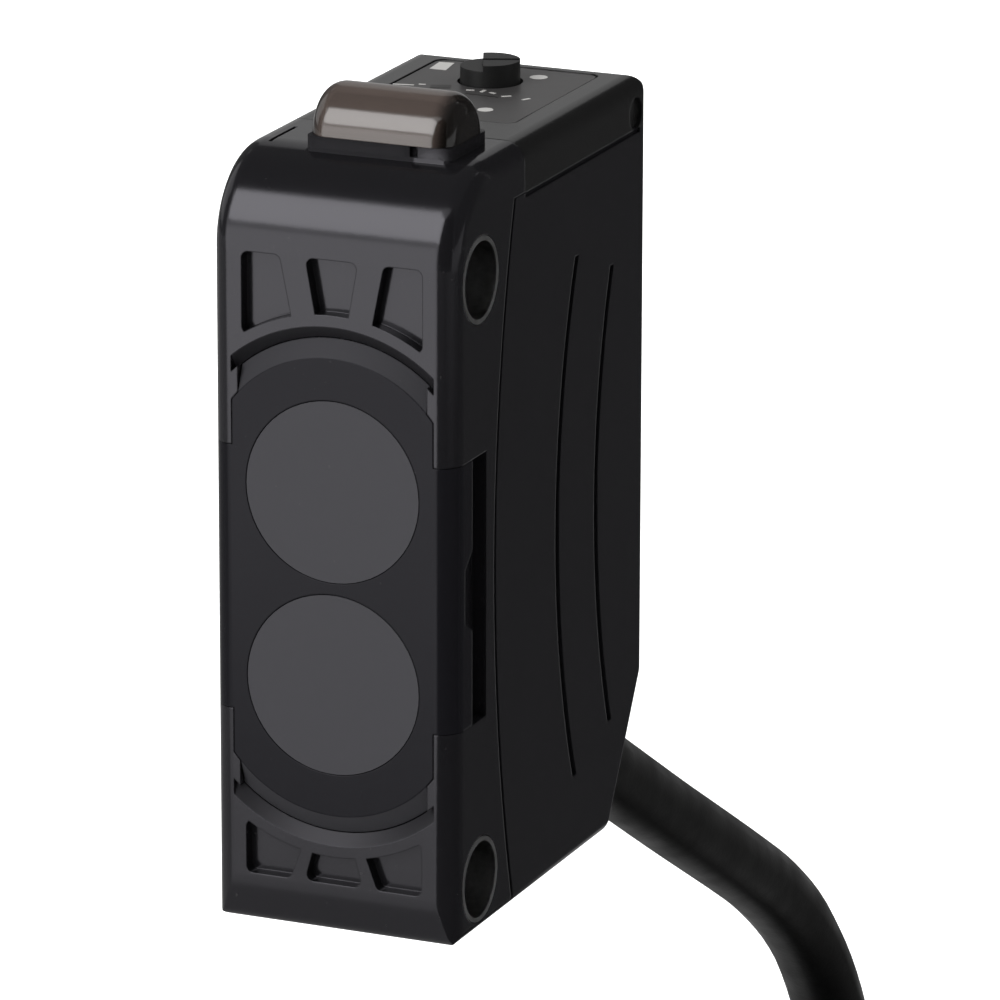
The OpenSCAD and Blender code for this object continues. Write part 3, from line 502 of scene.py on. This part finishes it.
WALL_CARDS = {
    "front_card": (1.85, (-0.14, -1.0), (-1.0, -1.0), 0.25),
    "side_card": (0.0, (-0.14, -1.0), (0.7, -0.3), 1.0),
    "left_card": (0.1, (-1.2, -1.0), (-1.2, 1.2), 1.2),
    "low_right_card": (0.4, (0.7, -0.3), (0.7, 0.4), 0.05),
    "right_card": (0.05, (0.71, -0.3), (0.71, 1.2), 1.0),
    "back_card": (0.41, (-0.1, 1.2), (-0.8, 1.2), 1.4),
    "back_left_card": (0.1, (-0.8, 1.2), (-1.2, 1.2), 1.4),
    "back_right_card": (0.03, (0.7, 1.2), (-0.1, 1.2), 1.4),
}
TOP_CARD = [(-1.0, -0.32, 0.62), (0.8, -0.32, 0.62), (0.8, 1.2, 1.2), (-1.0, 1.2, 1.2)]
CARD_LIFT = 1 * MM
FLOOR_GREY, FLOOR_GLOW = 0.86, 0.85


class SENSOR_OT_stage(Operator):
    """Sets up the camera, the floor, the lamps and the pale surroundings"""

    bl_idname = "sensor.stage"
    bl_label = "Stage"

    def execute(self, context):
        stage = settings().stage
        scene = context.scene
        scene.view_settings.view_transform = "Standard"
        self.place_camera(scene, stage)
        self.lay_floor(stage)
        self.light(scene, stage)
        return {"FINISHED"}

    def place_camera(self, scene, stage):
        """Makes the camera, turned about its line of sight by the roll."""
        lens = bpy.data.cameras.new("camera")
        lens.lens = stage.focal
        lens.sensor_width = 36
        lens.clip_start = 0.01
        lens.clip_end = 100
        camera = link(bpy.data.objects.new("camera", lens))
        place, aim = Vector(stage.camera_place), Vector(stage.camera_aim)
        back = (place - aim).normalized()
        right = Vector((0, 0, 1)).cross(back).normalized()
        up = back.cross(right)
        c, s = math.cos(stage.camera_roll), math.sin(stage.camera_roll)
        turned_right, turned_up = c * right + s * up, -s * right + c * up
        turn = Matrix((turned_right, turned_up, back)).transposed()
        camera.matrix_world = Matrix.Translation(place) @ turn.to_4x4()
        scene.camera = camera

    def shown_white(self, wiring, amount):
        """A strength for rays from the camera and for reflections and refractions."""
        rays = wiring.add("LightPath").outputs
        seen = wiring.math("MAXIMUM", rays["Is Camera Ray"], rays["Is Glossy Ray"])
        seen = wiring.math("MAXIMUM", seen, rays["Is Transmission Ray"])
        return wiring.math("MULTIPLY", seen, amount)

    def lay_floor(self, stage):
        """A wide pale floor below everything, which keeps the shadow."""
        low = CAD_BOX[0].z - stage.floor_gap
        bm = bmesh.new()
        bmesh.ops.create_grid(bm, x_segments=1, y_segments=1, size=4)
        bmesh.ops.translate(bm, verts=bm.verts, vec=(0, 0, low))
        floor = mesh_piece("floor", bm, smooth=False)
        material, skin, w = new_material("pale_floor")
        skin.inputs["Base Color"].default_value = (FLOOR_GREY,) * 3 + (1,)
        skin.inputs["Roughness"].default_value = 0.9
        skin.inputs["Emission Color"].default_value = (1, 1, 1, 1)
        w.feed(skin.inputs["Emission Strength"], self.shown_white(w, FLOOR_GLOW))
        floor.data.materials.append(material)

    def light(self, scene, stage):
        """Pale surroundings, the lamps and the cards."""
        world = bpy.data.worlds.new("surroundings")
        world.use_nodes = True
        scene.world = world
        w = Wiring(world.node_tree)
        background = world.node_tree.nodes["Background"]
        background.inputs["Color"].default_value = (1, 1, 1, 1)
        rays = self.shown_white(w, 1 - stage.ambient)
        w.feed(background.inputs["Strength"], w.math("ADD", rays, stage.ambient))
        for name, (way, distance, size, power, share) in LAMPS.items():
            lamp = self.lamp(name, way, distance, size, share * getattr(stage, power))
            lamp.location += Vector(stage.camera_aim)
            lamp.visible_glossy = power != "soft"
        self.lay_cards(CAD_BOX[0].z - stage.floor_gap + CARD_LIFT)

    def lay_cards(self, ground):
        """Dark and grey cards that shape what the glossy plastic mirrors, as a studio does."""
        for name, (shade, corners) in GROUND_CARDS.items():
            self.card(name, shade, [(x, y, ground) for x, y in corners])
        for name, (shade, (x0, y0), (x1, y1), top) in WALL_CARDS.items():
            self.card(name, shade, [(x0, y0, ground), (x1, y1, ground),
                                    (x1, y1, top), (x0, y0, top)])
        self.card("top_card", 0.1, TOP_CARD)

    def lamp(self, name, way, distance, size, power):
        """A flat lamp that shines at the origin."""
        data = bpy.data.lights.new(name, "AREA")
        data.shape = "RECTANGLE"
        data.size, data.size_y = size
        data.energy = power
        lamp = link(bpy.data.objects.new(name, data))
        way = Vector(way).normalized()
        lamp.location = distance * way
        lamp.rotation_euler = way.to_track_quat("Z", "Y").to_euler()
        return lamp

    def card(self, name, shade, corners):
        """A flat glowing card that only reflections see."""
        bm = bmesh.new()
        bm.faces.new([bm.verts.new(c) for c in corners])
        card = mesh_piece(name, bm, smooth=False)
        material, skin, _ = new_material(name)
        skin.inputs["Base Color"].default_value = (0, 0, 0, 1)
        skin.inputs["Specular IOR Level"].default_value = 0
        skin.inputs["Emission Color"].default_value = (1, 1, 1, 1)
        skin.inputs["Emission Strength"].default_value = shade
        card.data.materials.append(material)
        card.visible_camera = False
        card.visible_diffuse = False
        card.visible_shadow = False


# ---------------------------------------------------------------- cable

# The cable's route from the chamfer to the coil, the coil's middle and the tail, in mm,
# where the model's own cable lies
EXIT = Vector((0, 16.0137, -10.6394))
LEAD = [(0, 24.7, -15.8), (0, 33.4, -20.95), (0, 42, -25.95), (0, 46.6, -28.8),
        (0, 50.6, -31.95), (0, 53.9, -35.8), (0, 56.4, -40.3), (0, 58.2, -45.2),
        (0, 59.7, -50.3)]
COIL_MIDDLE = (37.4, -60.8)
COIL_START = math.radians(15)
TAIL = [(10.5, 61.4, -66), (10.5, 60.7, -71), (10.5, 59.6, -76), (10.5, 58.2, -81)]
# Share of a turn in which the cable crosses to its next place in the coil
CROSSING = 0.22
# The conductors' colours, and how each leans away from the tail, in degrees
WIRES = {"brown": (0.11, 0.035, 0.013), "blue": (0.02, 0.09, 0.42), "black": (0.014, 0.014, 0.014)}
CORE_LEANS = [(-1, 5), (-6, -2), (5, -3)]
# In mm: their length, how far they begin inside the jacket and how far they bow; then their
# distance from the jacket's middle in diameters, and the waves of their bow
CORE_LENGTH, CORE_SUNK, CORE_BOW = 22, 3, 0.9
CORE_APART, CORE_WAVES, CORE_POINTS = 0.62, 0.6, 12
# The strands of a tip: radius, distance from the middle, length of a full twist and how far
# they begin inside the insulation
STRAND_RADIUS, STRAND_APART, STRAND_TWIST, STRAND_SUNK = 0.095 * MM, 0.175 * MM, 5 * MM, 0.4 * MM
STRAND_SIDES, STRAND_RINGS = 8, 28


def coil_points(cable, per_turn=40):
    """The coil's centre line: columns wound in and out by turns, from the lead to the tail."""
    d = cable.diameter / MM
    inner = cable.coil_hole / MM + d / 2
    count = cable.columns * cable.layers

    def turn_place(k):
        k = min(k, count - 1)
        column, layer = divmod(k, cable.layers)
        if column % 2 == 0:
            layer = cable.layers - 1 - layer
        return column * d, inner + layer * d

    total = count + COIL_START / math.tau
    steps = round(total * per_turn)
    points = []
    for i in range(steps + 1):
        t = total * i / steps
        k = min(int(t), count - 1)
        u = min(max((t - k - 1 + CROSSING) / CROSSING, 0), 1)
        u = u * u * (3 - 2 * u)
        (x0, r0), (x1, r1) = turn_place(k), turn_place(k + 1)
        x, r = x0 + (x1 - x0) * u, r0 + (r1 - r0) * u
        a = COIL_START - math.tau * t
        points.append((x, COIL_MIDDLE[0] + r * math.cos(a), COIL_MIDDLE[1] + r * math.sin(a)))
    return points


def tail_way():
    """The direction in which the cable ends."""
    return (Vector(TAIL[-1]) - Vector(TAIL[-2])).normalized()


def core_line(i, cable):
    """Middle line of conductor i, from inside the jacket to the end of its insulation."""
    way = tail_way()
    lean = [math.tan(math.radians(a)) for a in CORE_LEANS[i]]
    along = (way + Vector((*lean, 0))).normalized()
    turn = math.radians(120 * i + 90)
    start = (Vector(TAIL[-1]) - CORE_SUNK * way
             + CORE_APART * cable.core / MM * Vector((math.cos(turn), math.sin(turn), 0)))
    end = start + (CORE_LENGTH + CORE_SUNK) * along
    bow = along.cross(Vector((math.sin(turn), -math.cos(turn), 0.3))).normalized()
    line = []
    for k in range(CORE_POINTS + 1):
        t = k / CORE_POINTS
        swing = CORE_BOW * math.sin(math.pi * t) * math.sin(math.tau * CORE_WAVES * t)
        line.append((start.lerp(end, t) + swing * bow) * MM)
    return smooth_through(line, 0.6 * MM)


def frames_along(points):
    """Each point of a line with two directions across it, carried along without twist."""
    side = None
    for i, p in enumerate(points):
        way = (points[min(i + 1, len(points) - 1)] - points[max(i - 1, 0)]).normalized()
        if side is None:
            side = way.orthogonal().normalized()
        side = (side - side.dot(way) * way).normalized()
        yield p, side, way.cross(side)


class SENSOR_OT_cable(Operator):
    """Lays the cable from the chamfer through its coil to the stripped end, with its conductors"""

    bl_idname = "sensor.cable"
    bl_label = "Cable"

    def execute(self, context):
        cable = settings().cable
        colours = settings().colours
        lead = smooth_through([EXIT, *LEAD], 1.5)
        coil = [Vector(p) for p in coil_points(cable)]
        tail = smooth_through([coil[-1], *TAIL], 1.5)
        route = smooth_through([lead[-1], coil[0]], 1.2)[1:-1]
        line = [p * MM for p in [*lead, *route, *coil, *tail[1:]]]
        jacket = round_line("cable_jacket", line, cable.diameter / 2, 5)
        black = sheathed("cable_jacket", colours.jacket, 0.42, Specular_IOR_Level=0.4)
        finish_piece(jacket, black)
        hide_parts("cable", "cable_coil", "cable_tail")
        assign(black, "cable_root")
        pieces = [NODES["cable_tie"], *self.conductors(cable)]
        self.tie()
        return {"FINISHED"}

    def tie(self):
        """Black nylon with the fine teeth of a tie across its strap."""
        material, skin, w = new_material("tie_nylon")
        out = place_group(w, "Moulded grain", Colour=(0.02, 0.02, 0.021), Grain=0.0003,
                          Spread=0.12, Roughness=0.36, Roughness_spread=0.05)
        teeth = w.add("TexWave", Vector=w.place(), Scale=260.0, Distortion=0.0,
                      settings={"bands_direction": "X"}).outputs["Fac"]
        height = w.math("MULTIPLY_ADD", out["Height"], 0.08, teeth)
        dress(skin, w, out["Color"], out["Roughness"], height, 0.03 * MM, 0.08 * MM)
        assign(material, "cable_tie")

    def conductors(self, cable):
        """Lays the insulated conductors, each with its tinned tip."""
        tin = self.tinned()
        pieces = []
        for i, (name, colour) in enumerate(WIRES.items()):
            line = core_line(i, cable)
            slot = "wire_" + name
            sheath = round_line(name + "_wire_sheath", line, cable.core / 2)
            finish_piece(sheath, sheathed(slot, colour, 0.3, 0.008 * MM))
            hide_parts(name + "_wire")
            tip = self.strands(name + "_tip", line, cable)
            finish_piece(tip, tin)
            pieces += [sheath, tip]
        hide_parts("wire_tips")
        return pieces

    def strands(self, name, line, cable):
        """Seven twisted strands with a rounded end, out of the end of a conductor."""
        way = (line[-1] - line[-3]).normalized()
        side = way.orthogonal().normalized()
        across = way.cross(side)
        start = line[-1] - STRAND_SUNK * way
        bm = bmesh.new()
        for k in range(7):
            path = []
            for j in range(STRAND_RINGS + 1):
                along = (cable.tip + STRAND_SUNK) * j / STRAND_RINGS
                turn = math.tau * (k / 6 + along / STRAND_TWIST)
                reach = 0 if k == 6 else STRAND_APART
                path.append(start + along * way
                            + reach * (math.cos(turn) * side + math.sin(turn) * across))
            rings = []
            for j, (p, a, b) in enumerate(frames_along(path)):
                r = STRAND_RADIUS * {STRAND_RINGS - 1: 0.8, STRAND_RINGS: 0.35}.get(j, 1)
                turns = [math.tau * m / STRAND_SIDES for m in range(STRAND_SIDES)]
                rings.append([bm.verts.new(p + r * (math.cos(t) * a + math.sin(t) * b))
                              for t in turns])
            for low, high in zip(rings, rings[1:]):
                for m in range(STRAND_SIDES):
                    n = (m + 1) % STRAND_SIDES
                    bm.faces.new((low[m], low[n], high[n], high[m]))
            bm.faces.new(rings[0])
            bm.faces.new(rings[-1])
        return mesh_piece(name, bm)

    def tinned(self):
        """Tin over copper, with solder that ran unevenly between the strands."""
        material, skin, w = new_material("tinned_copper")
        place = w.place()
        runs = w.noise(place, 0.0007, 4, 0.6)
        pits = w.noise(place, 0.00007, 2, 0.5)
        colour = w.blend(w.range(runs, 0.3, 0.45), (0.62, 0.42, 0.28), (0.68, 0.68, 0.67))
        rough = w.range(runs, 0.3, 0.7, 0.22, 0.42)
        dress(skin, w, colour, rough, w.math("ADD", runs, pits), 0.006 * MM, Metallic=1.0)
        return material


# ---------------------------------------------------------------- case

class SENSOR_OT_case(Operator):
    """Finishes the case's two mouldings and its top cover"""

    bl_idname = "sensor.case"
    bl_label = "Case"

    def execute(self, context):
        colours = settings().colours
        assign(self.plastic(colours.case), "front_case", "rear_case")
        assign(moulded("cover_plastic", colours.cover, 0.2, dust=0.06, roughness_spread=0.03,
                       Specular_IOR_Level=0.45),
               "top_cover")
        return {"FINISHED"}

    def plastic(self, colour):
        """Glossy black plastic, duller in the sunken band, and duller and painted darker on the
        collar left of its notch, which is painted shade.
        """
        material, skin, w = new_material("case_plastic")
        band = place_group(w, "Sunken band", Inner=BAND_RADII[1], Outer=BAND_RADII[2])[0]
        x, y, z = w.axes()
        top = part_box("top_cover")[1].z
        above = w.range(z, top + 0.01 * MM, top + BLUR)
        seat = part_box("indicator_window")[0]
        # The collar's face left of its notch, below the top, is painted darker: painted shade.
        collar_painted_shade = w.range(x, *COLLAR_NOTCH, 1, 0)
        for value, low in ((x, seat.x), (y, seat.y), (z, top - COLLAR_FOOT)):
            collar_painted_shade = w.math("MULTIPLY", collar_painted_shade, w.range(value, low - 0.03 * MM, low - 0.005 * MM))
        out = place_group(w, "Moulded grain", Grain=settings().surface.grain,
                          Colour=w.blend(collar_painted_shade, colour, (0.004, 0.0038, 0.0044)),
                          Spread=0.1, Dust=0.06, Roughness=0.15, Roughness_spread=0.03)
        rough = w.math("MULTIPLY_ADD", band, 0.3, out["Roughness"])
        rough = w.math("MULTIPLY_ADD", collar_painted_shade, 0.6, rough)
        edge = w.math("MULTIPLY_ADD", above, COLLAR_ROUND, settings().surface.edge)
        dress(skin, w, out["Color"], rough, out["Height"], settings().surface.relief, edge,
              Specular_IOR_Level=0.55, Specular_Tint=COOL)
        return material


def disc(x, y, radius, sides=28):
    """Corners of a disc round x, y."""
    turns = [math.tau * i / sides for i in range(sides)]
    return [(x + radius * math.cos(a), y + radius * math.sin(a)) for a in turns]


def bar(x, y, length, width, turn):
    """Corners of a bar round x, y, with its length turned by degrees from the X axis."""
    c, s = math.cos(math.radians(turn)), math.sin(math.radians(turn))
    return [(x + c * a - s * b, y + s * a + c * b)
            for a, b in ((-length / 2, -width / 2), (length / 2, -width / 2),
                         (length / 2, width / 2), (-length / 2, width / 2))]


# Plain shapes on the film, as corners in mm across the mount frame
PALE_SHAPES = [
    [(-3.35, 14.8), (-2.6, 14.8), (-2.8, 16.15), (-3.45, 16.05)],
    disc(1.45, 15.2, 0.38), disc(1.68, 9.05, 0.33),
    bar(-0.25, 11.95, 0.34, 0.16, 20), bar(0.3, 12.0, 0.16, 0.4, 0),
    bar(0.8, 11.85, 0.3, 0.16, -20), bar(1.55, 11.55, 0.42, 0.16, 35),
    bar(2.5, 11.4, 0.4, 0.16, 60),
    bar(-3.2, 11.75, 0.9, 0.13, 12), bar(-2.5, 12.1, 0.3, 0.13, 12),
]
DARK_SHAPES = [bar(-1.64, 12.05, 0.85, 0.55, 20), bar(0.55, 11.3, 1.5, 0.1, -4)]
DARK_INK = (0.02, 0.019, 0.018)
# Height of the prints, and how far above the film they begin
PRINT_HEIGHT, PRINT_GAP = 0.01 * MM, 0.003 * MM


class SENSOR_OT_film(Operator):
    """Finishes the control film and prints its marks"""

    bl_idname = "sensor.film"
    bl_label = "Control film"

    def execute(self, context):
        material, skin, w = new_material("film")
        out = place_group(w, "Moulded grain", Colour=settings().colours.film, Grain=0.00006,
                          Spread=0.06, Dust=0.08, Roughness=0.4, Roughness_spread=0.03)
        orange_peel = w.noise(w.place(), 0.5 * MM, 2, 0.5)
        height = w.math("MULTIPLY_ADD", out["Height"], 0.3, orange_peel)
        dress(skin, w, out["Color"], out["Roughness"], height, 0.003 * MM, 0.02 * MM,
              Specular_IOR_Level=0.3)
        assign(material, "control_film")
        self.print_marks()
        return {"FINISHED"}

    def print_marks(self):
        """Plain printed shapes round the dial."""
        ink = settings().colours.marks
        for name, colour, shapes in (("pale_print", ink, PALE_SHAPES),
                                     ("dark_print", DARK_INK, DARK_SHAPES)):
            bm = bmesh.new()
            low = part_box("control_film")[1].z + PRINT_GAP
            for corners in shapes:
                face = bm.faces.new([bm.verts.new((x * MM, y * MM, low)) for x, y in corners])
                raised = bmesh.ops.extrude_face_region(bm, geom=[face])["geom"]
                raised = [v for v in raised if isinstance(v, bmesh.types.BMVert)]
                bmesh.ops.translate(bm, verts=raised, vec=(0, 0, PRINT_HEIGHT))
            marks = mesh_piece(name, bm, smooth=False)
            finish_piece(marks, moulded(name, colour, 0.45, grain=0.00005, relief=0.001 * MM,
                                        edge=0.004 * MM, spread=0.25))


# ---------------------------------------------------------------- window and lenses

class SENSOR_OT_window(Operator):
    """Finishes the front window and the two lenses"""

    bl_idname = "sensor.window"
    bl_label = "Window and lenses"

    def execute(self, context):
        colours = settings().colours
        window, skin, w = new_material("window_plastic")
        band = place_group(w, "Sunken band", Inner=BAND_RADII[0], Outer=BAND_RADII[1])[0]
        # The sunken band's slope is painted lighter: a painted reflection of the lamp on the
        # slope.
        colour = w.blend(band, colours.window, (0.034, 0.0335, 0.037))
        out = place_group(w, "Moulded grain", Colour=colour, Grain=0.0006, Spread=0.08,
                          Dust=0.03, Roughness=0.16, Roughness_spread=0.03)
        dress(skin, w, out["Color"], w.math("MULTIPLY_ADD", band, 0.35, out["Roughness"]),
              out["Height"], 0.0012 * MM, settings().surface.edge,
              Specular_IOR_Level=0.17, Specular_Tint=COOL)
        assign(window, "front_window")
        assign(self.lens(), "emitter_lens", "receiver_lens")
        return {"FINISHED"}

    def lens(self):
        """Infrared plastic: dark and even, with the faintest grain."""
        material, skin, w = new_material("lens_plastic")
        out = place_group(w, "Moulded grain", Colour=settings().colours.lens, Grain=0.0004,
                          Spread=0.03, Dust=0.04, Roughness=0.24, Roughness_spread=0.02)
        dress(skin, w, out["Color"], out["Roughness"], out["Height"], 0.0008 * MM,
              Specular_IOR_Level=0.16)
        return material


# ---------------------------------------------------------------- indicator and dial

class SENSOR_OT_indicator(Operator):
    """Finishes the smoky indicator window and the two lamps under it"""

    bl_idname = "sensor.indicator"
    bl_label = "Indicator"

    def execute(self, context):
        material, skin, w = new_material("smoky_plastic")
        low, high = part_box("indicator_window")
        x = w.axes()[0]
        # The window's ends are painted nearly black: painted shade where the ends mirror the dark
        # sides.
        painted_lit_middle = w.math("MULTIPLY", w.range(x, low.x + 0.1 * MM, low.x + 0.8 * MM, 0.1, 1),
                     w.range(x, high.x - 0.3 * MM, high.x - 1.1 * MM, 0.05, 1))
        smoke = w.blend(painted_lit_middle, (0.004, 0.0035, 0.003), settings().colours.smoke)
        out = place_group(w, "Moulded grain", Colour=smoke, Grain=0.0005,
                          Spread=0.05, Roughness=0.12, Roughness_spread=0.02)
        dress(skin, w, out["Color"], out["Roughness"], out["Height"], 0.001 * MM, 0.05 * MM,
              Transmission_Weight=0.4, IOR=1.55, Specular_IOR_Level=1.0)
        assign(material, "indicator_window")
        self.lamp("led_orange", (0.75, 0.24, 0.05), "output_indicator")
        self.lamp("led_green", (0.12, 0.5, 0.14), "stability_indicator")
        self.lamp("led_clear", (0.7, 0.74, 0.8), "emitter_led")
        return {"FINISHED"}

    def lamp(self, name, colour, *nodes):
        """Cast resin over a chip, unlit."""
        material, skin, w = new_material(name)
        out = place_group(w, "Moulded grain", Colour=colour, Grain=0.0002, Spread=0.1,
                          Roughness=0.18, Roughness_spread=0.05)
        dress(skin, w, out["Color"], out["Roughness"], out["Height"], 0.002 * MM, 0.05 * MM,
              Transmission_Weight=0.3, IOR=1.5)
        assign(material, *nodes)


class SENSOR_OT_dial(Operator):
    """Finishes the sensitivity dial and the trimmer it turns"""

    bl_idname = "sensor.dial"
    bl_label = "Dial"

    def execute(self, context):
        dial = settings().colours.dial
        assign(moulded("dial_plastic", dial, 0.45, grain=0.0001, relief=0.002 * MM,
                       edge=0.05 * MM, Specular_IOR_Level=0.3), "sensitivity_dial")
        assign(moulded("rotor_white", (0.7, 0.69, 0.64), 0.45), "trimmer_rotor")
        assign(moulded("trimmer_blue", (0.03, 0.1, 0.35), 0.35), "trimmer_body")
        return {"FINISHED"}


# ---------------------------------------------------------------- metal and rubber

class SENSOR_OT_sleeves(Operator):
    """Finishes the mounting sleeves, the cable's clamp and the shield over the amplifier"""

    bl_idname = "sensor.sleeves"
    bl_label = "Sleeves and metal"

    def execute(self, context):
        assign(turned("plated_steel", STEEL_ROUGHNESS, (0.85, 0.85, 0.85)),
               "cable_clamp", "shield_can")
        # The sleeves' bores are painted darker than their end faces: painted shade inside the
        # holes.
        assign(turned("sleeve_steel", STEEL_ROUGHNESS, (0.7, 0.7, 0.7), (0.95, 0.95, 0.95),
                      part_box("upper_sleeve")[1].x),
               "upper_sleeve", "lower_sleeve")
        return {"FINISHED"}


class SENSOR_OT_seals(Operator):
    """Finishes the bush, the dial's ring and the seal behind the window"""

    bl_idname = "sensor.seals"
    bl_label = "Seals"

    def execute(self, context):
        rubber = moulded("seal_rubber", (0.02, 0.02, 0.02), 0.6, grain=0.00012,
                         relief=0.006 * MM, spread=0.2, dust=0.15, Specular_IOR_Level=0.35)
        assign(rubber, "cable_bush", "dial_seal", "window_seal")
        return {"FINISHED"}


# ---------------------------------------------------------------- electronics

class SENSOR_OT_boards(Operator):
    """Finishes the circuit boards, with copper tracks under green lacquer"""

    bl_idname = "sensor.boards"
    bl_label = "Circuit boards"

    def execute(self, context):
        material, skin, w = new_material("board_green")
        place = w.place()
        tracks = w.add("TexBrick", Vector=place, Scale=520.0,
                       Color1=(0, 0, 0), Color2=(0.3, 0.3, 0.3), Mortar=(1, 1, 1),
                       settings={"offset": 0.37, "squash": 0.6, "squash_frequency": 3}).outputs
        cells = w.add("TexVoronoi", Vector=place, Scale=900.0,
                      settings={"feature": "DISTANCE_TO_EDGE"}).outputs[0]
        copper = w.math("MAXIMUM", w.range(tracks["Fac"], 0.3, 0.7), w.range(cells, 0.06, 0.03))
        weave = w.noise(place, 0.00025, 2, 0.5)
        green = w.blend(weave, (0.008, 0.07, 0.028), (0.012, 0.09, 0.035))
        colour = w.blend(copper, green, (0.03, 0.16, 0.06))
        height = w.math("MULTIPLY_ADD", weave, 0.15, copper)
        dress(skin, w, colour, w.range(weave, 0.3, 0.7, 0.25, 0.38), height, 0.03 * MM)
        assign(material, "main_board", "sensor_board", "indicator_board")
        return {"FINISHED"}


# The inner leads' radius, their distance from each other at the cable's end and on the board
LEAD_RADIUS, LEAD_PITCH, PAD_PITCH = 0.35 * MM, 0.9 * MM, 1.3 * MM


class SENSOR_OT_components(Operator):
    """Finishes the chips, the photodiode, the capacitors and the inner leads"""

    bl_idname = "sensor.components"
    bl_label = "Components"

    def execute(self, context):
        assign(moulded("chip_black", (0.018, 0.018, 0.02), 0.5, grain=0.00008,
                       relief=0.006 * MM, spread=0.2),
               "amplifier_chip", "control_chip", "output_transistor", "receiver_photodiode",
               "optical_block")
        assign(self.capacitor(), "capacitors")
        self.leads()
        return {"FINISHED"}

    def capacitor(self):
        """Tan ceramic with tinned ends."""
        material, skin, w = new_material("capacitor_tan")
        low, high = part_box("capacitors")
        z = w.axes()[2]
        near_end = w.math("MAXIMUM", w.range(z, low.z + 0.5 * MM, low.z + 0.45 * MM),
                          w.range(z, high.z - 0.5 * MM, high.z - 0.45 * MM))
        out = place_group(w, "Moulded grain", Colour=(0.32, 0.2, 0.1), Grain=0.0001,
                          Spread=0.15, Roughness=0.5)
        colour = w.blend(near_end, out["Color"], (0.6, 0.6, 0.58))
        dress(skin, w, colour, out["Roughness"], out["Height"], 0.004 * MM, 0.05 * MM)
        w.feed(skin.inputs["Metallic"], near_end)
        return material

    def leads(self):
        """Three soft leads from the cable's end up to the main board."""
        low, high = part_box("inner_leads")
        board = (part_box("main_board")[0].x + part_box("main_board")[1].x) / 2
        for i, name in enumerate(WIRES):
            start = Vector(((1 - i) * LEAD_PITCH, high.y - LEAD_RADIUS, low.z + LEAD_RADIUS))
            pad = Vector((board, high.y - (2 - i) * PAD_PITCH, high.z - LEAD_RADIUS))
            bend = start.lerp(pad, 0.5) + Vector((0.25, 0.1, 0.2)) * MM
            line = smooth_through([start, bend, pad], 0.15 * MM)
            lead = round_line("inner_lead_" + name, line, LEAD_RADIUS)
            finish_piece(lead, bpy.data.materials["wire_" + name])
            if i == 0:
                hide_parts("inner_leads")


# ---------------------------------------------------------------- panel and registration

ORDER = [
    SENSOR_OT_stage, SENSOR_OT_cable, SENSOR_OT_case, SENSOR_OT_film, SENSOR_OT_window,
    SENSOR_OT_indicator, SENSOR_OT_dial, SENSOR_OT_sleeves, SENSOR_OT_seals, SENSOR_OT_boards,
    SENSOR_OT_components,
]


class SENSOR_PT_panel(Panel):
    """Lists the sensor's settings and what can be made"""

    bl_idname = "SENSOR_PT_panel"
    bl_label = "Photoelectric sensor"
    bl_space_type = "VIEW_3D"
    bl_region_type = "UI"
    bl_category = "Sensor"

    def draw(self, context):
        for part in ("cable", "colours", "surface", "stage"):
            box = self.layout.box()
            box.label(text=part.capitalize())
            held = getattr(context.scene.sensor, part)
            for name in held.__annotations__:
                box.prop(held, name)
        for operator in ORDER:
            self.layout.operator(operator.bl_idname)


class SensorSettings(PropertyGroup):
    cable: PointerProperty(type=CableSettings)
    colours: PointerProperty(type=ColourSettings)
    surface: PointerProperty(type=SurfaceSettings)
    stage: PointerProperty(type=StageSettings)


CLASSES = [CableSettings, ColourSettings, SurfaceSettings, StageSettings, SensorSettings,
           *ORDER, SENSOR_PT_panel]


def register():
    for cls in CLASSES:
        bpy.utils.register_class(cls)
    bpy.types.Scene.sensor = PointerProperty(type=SensorSettings)


def unregister():
    del bpy.types.Scene.sensor
    for cls in reversed(CLASSES):
        bpy.utils.unregister_class(cls)


def main():
    register()
    for operator in ORDER:
        section, name = operator.bl_idname.split(".")
        getattr(getattr(bpy.ops, section), name)()


if __name__ == "__main__":
    main()
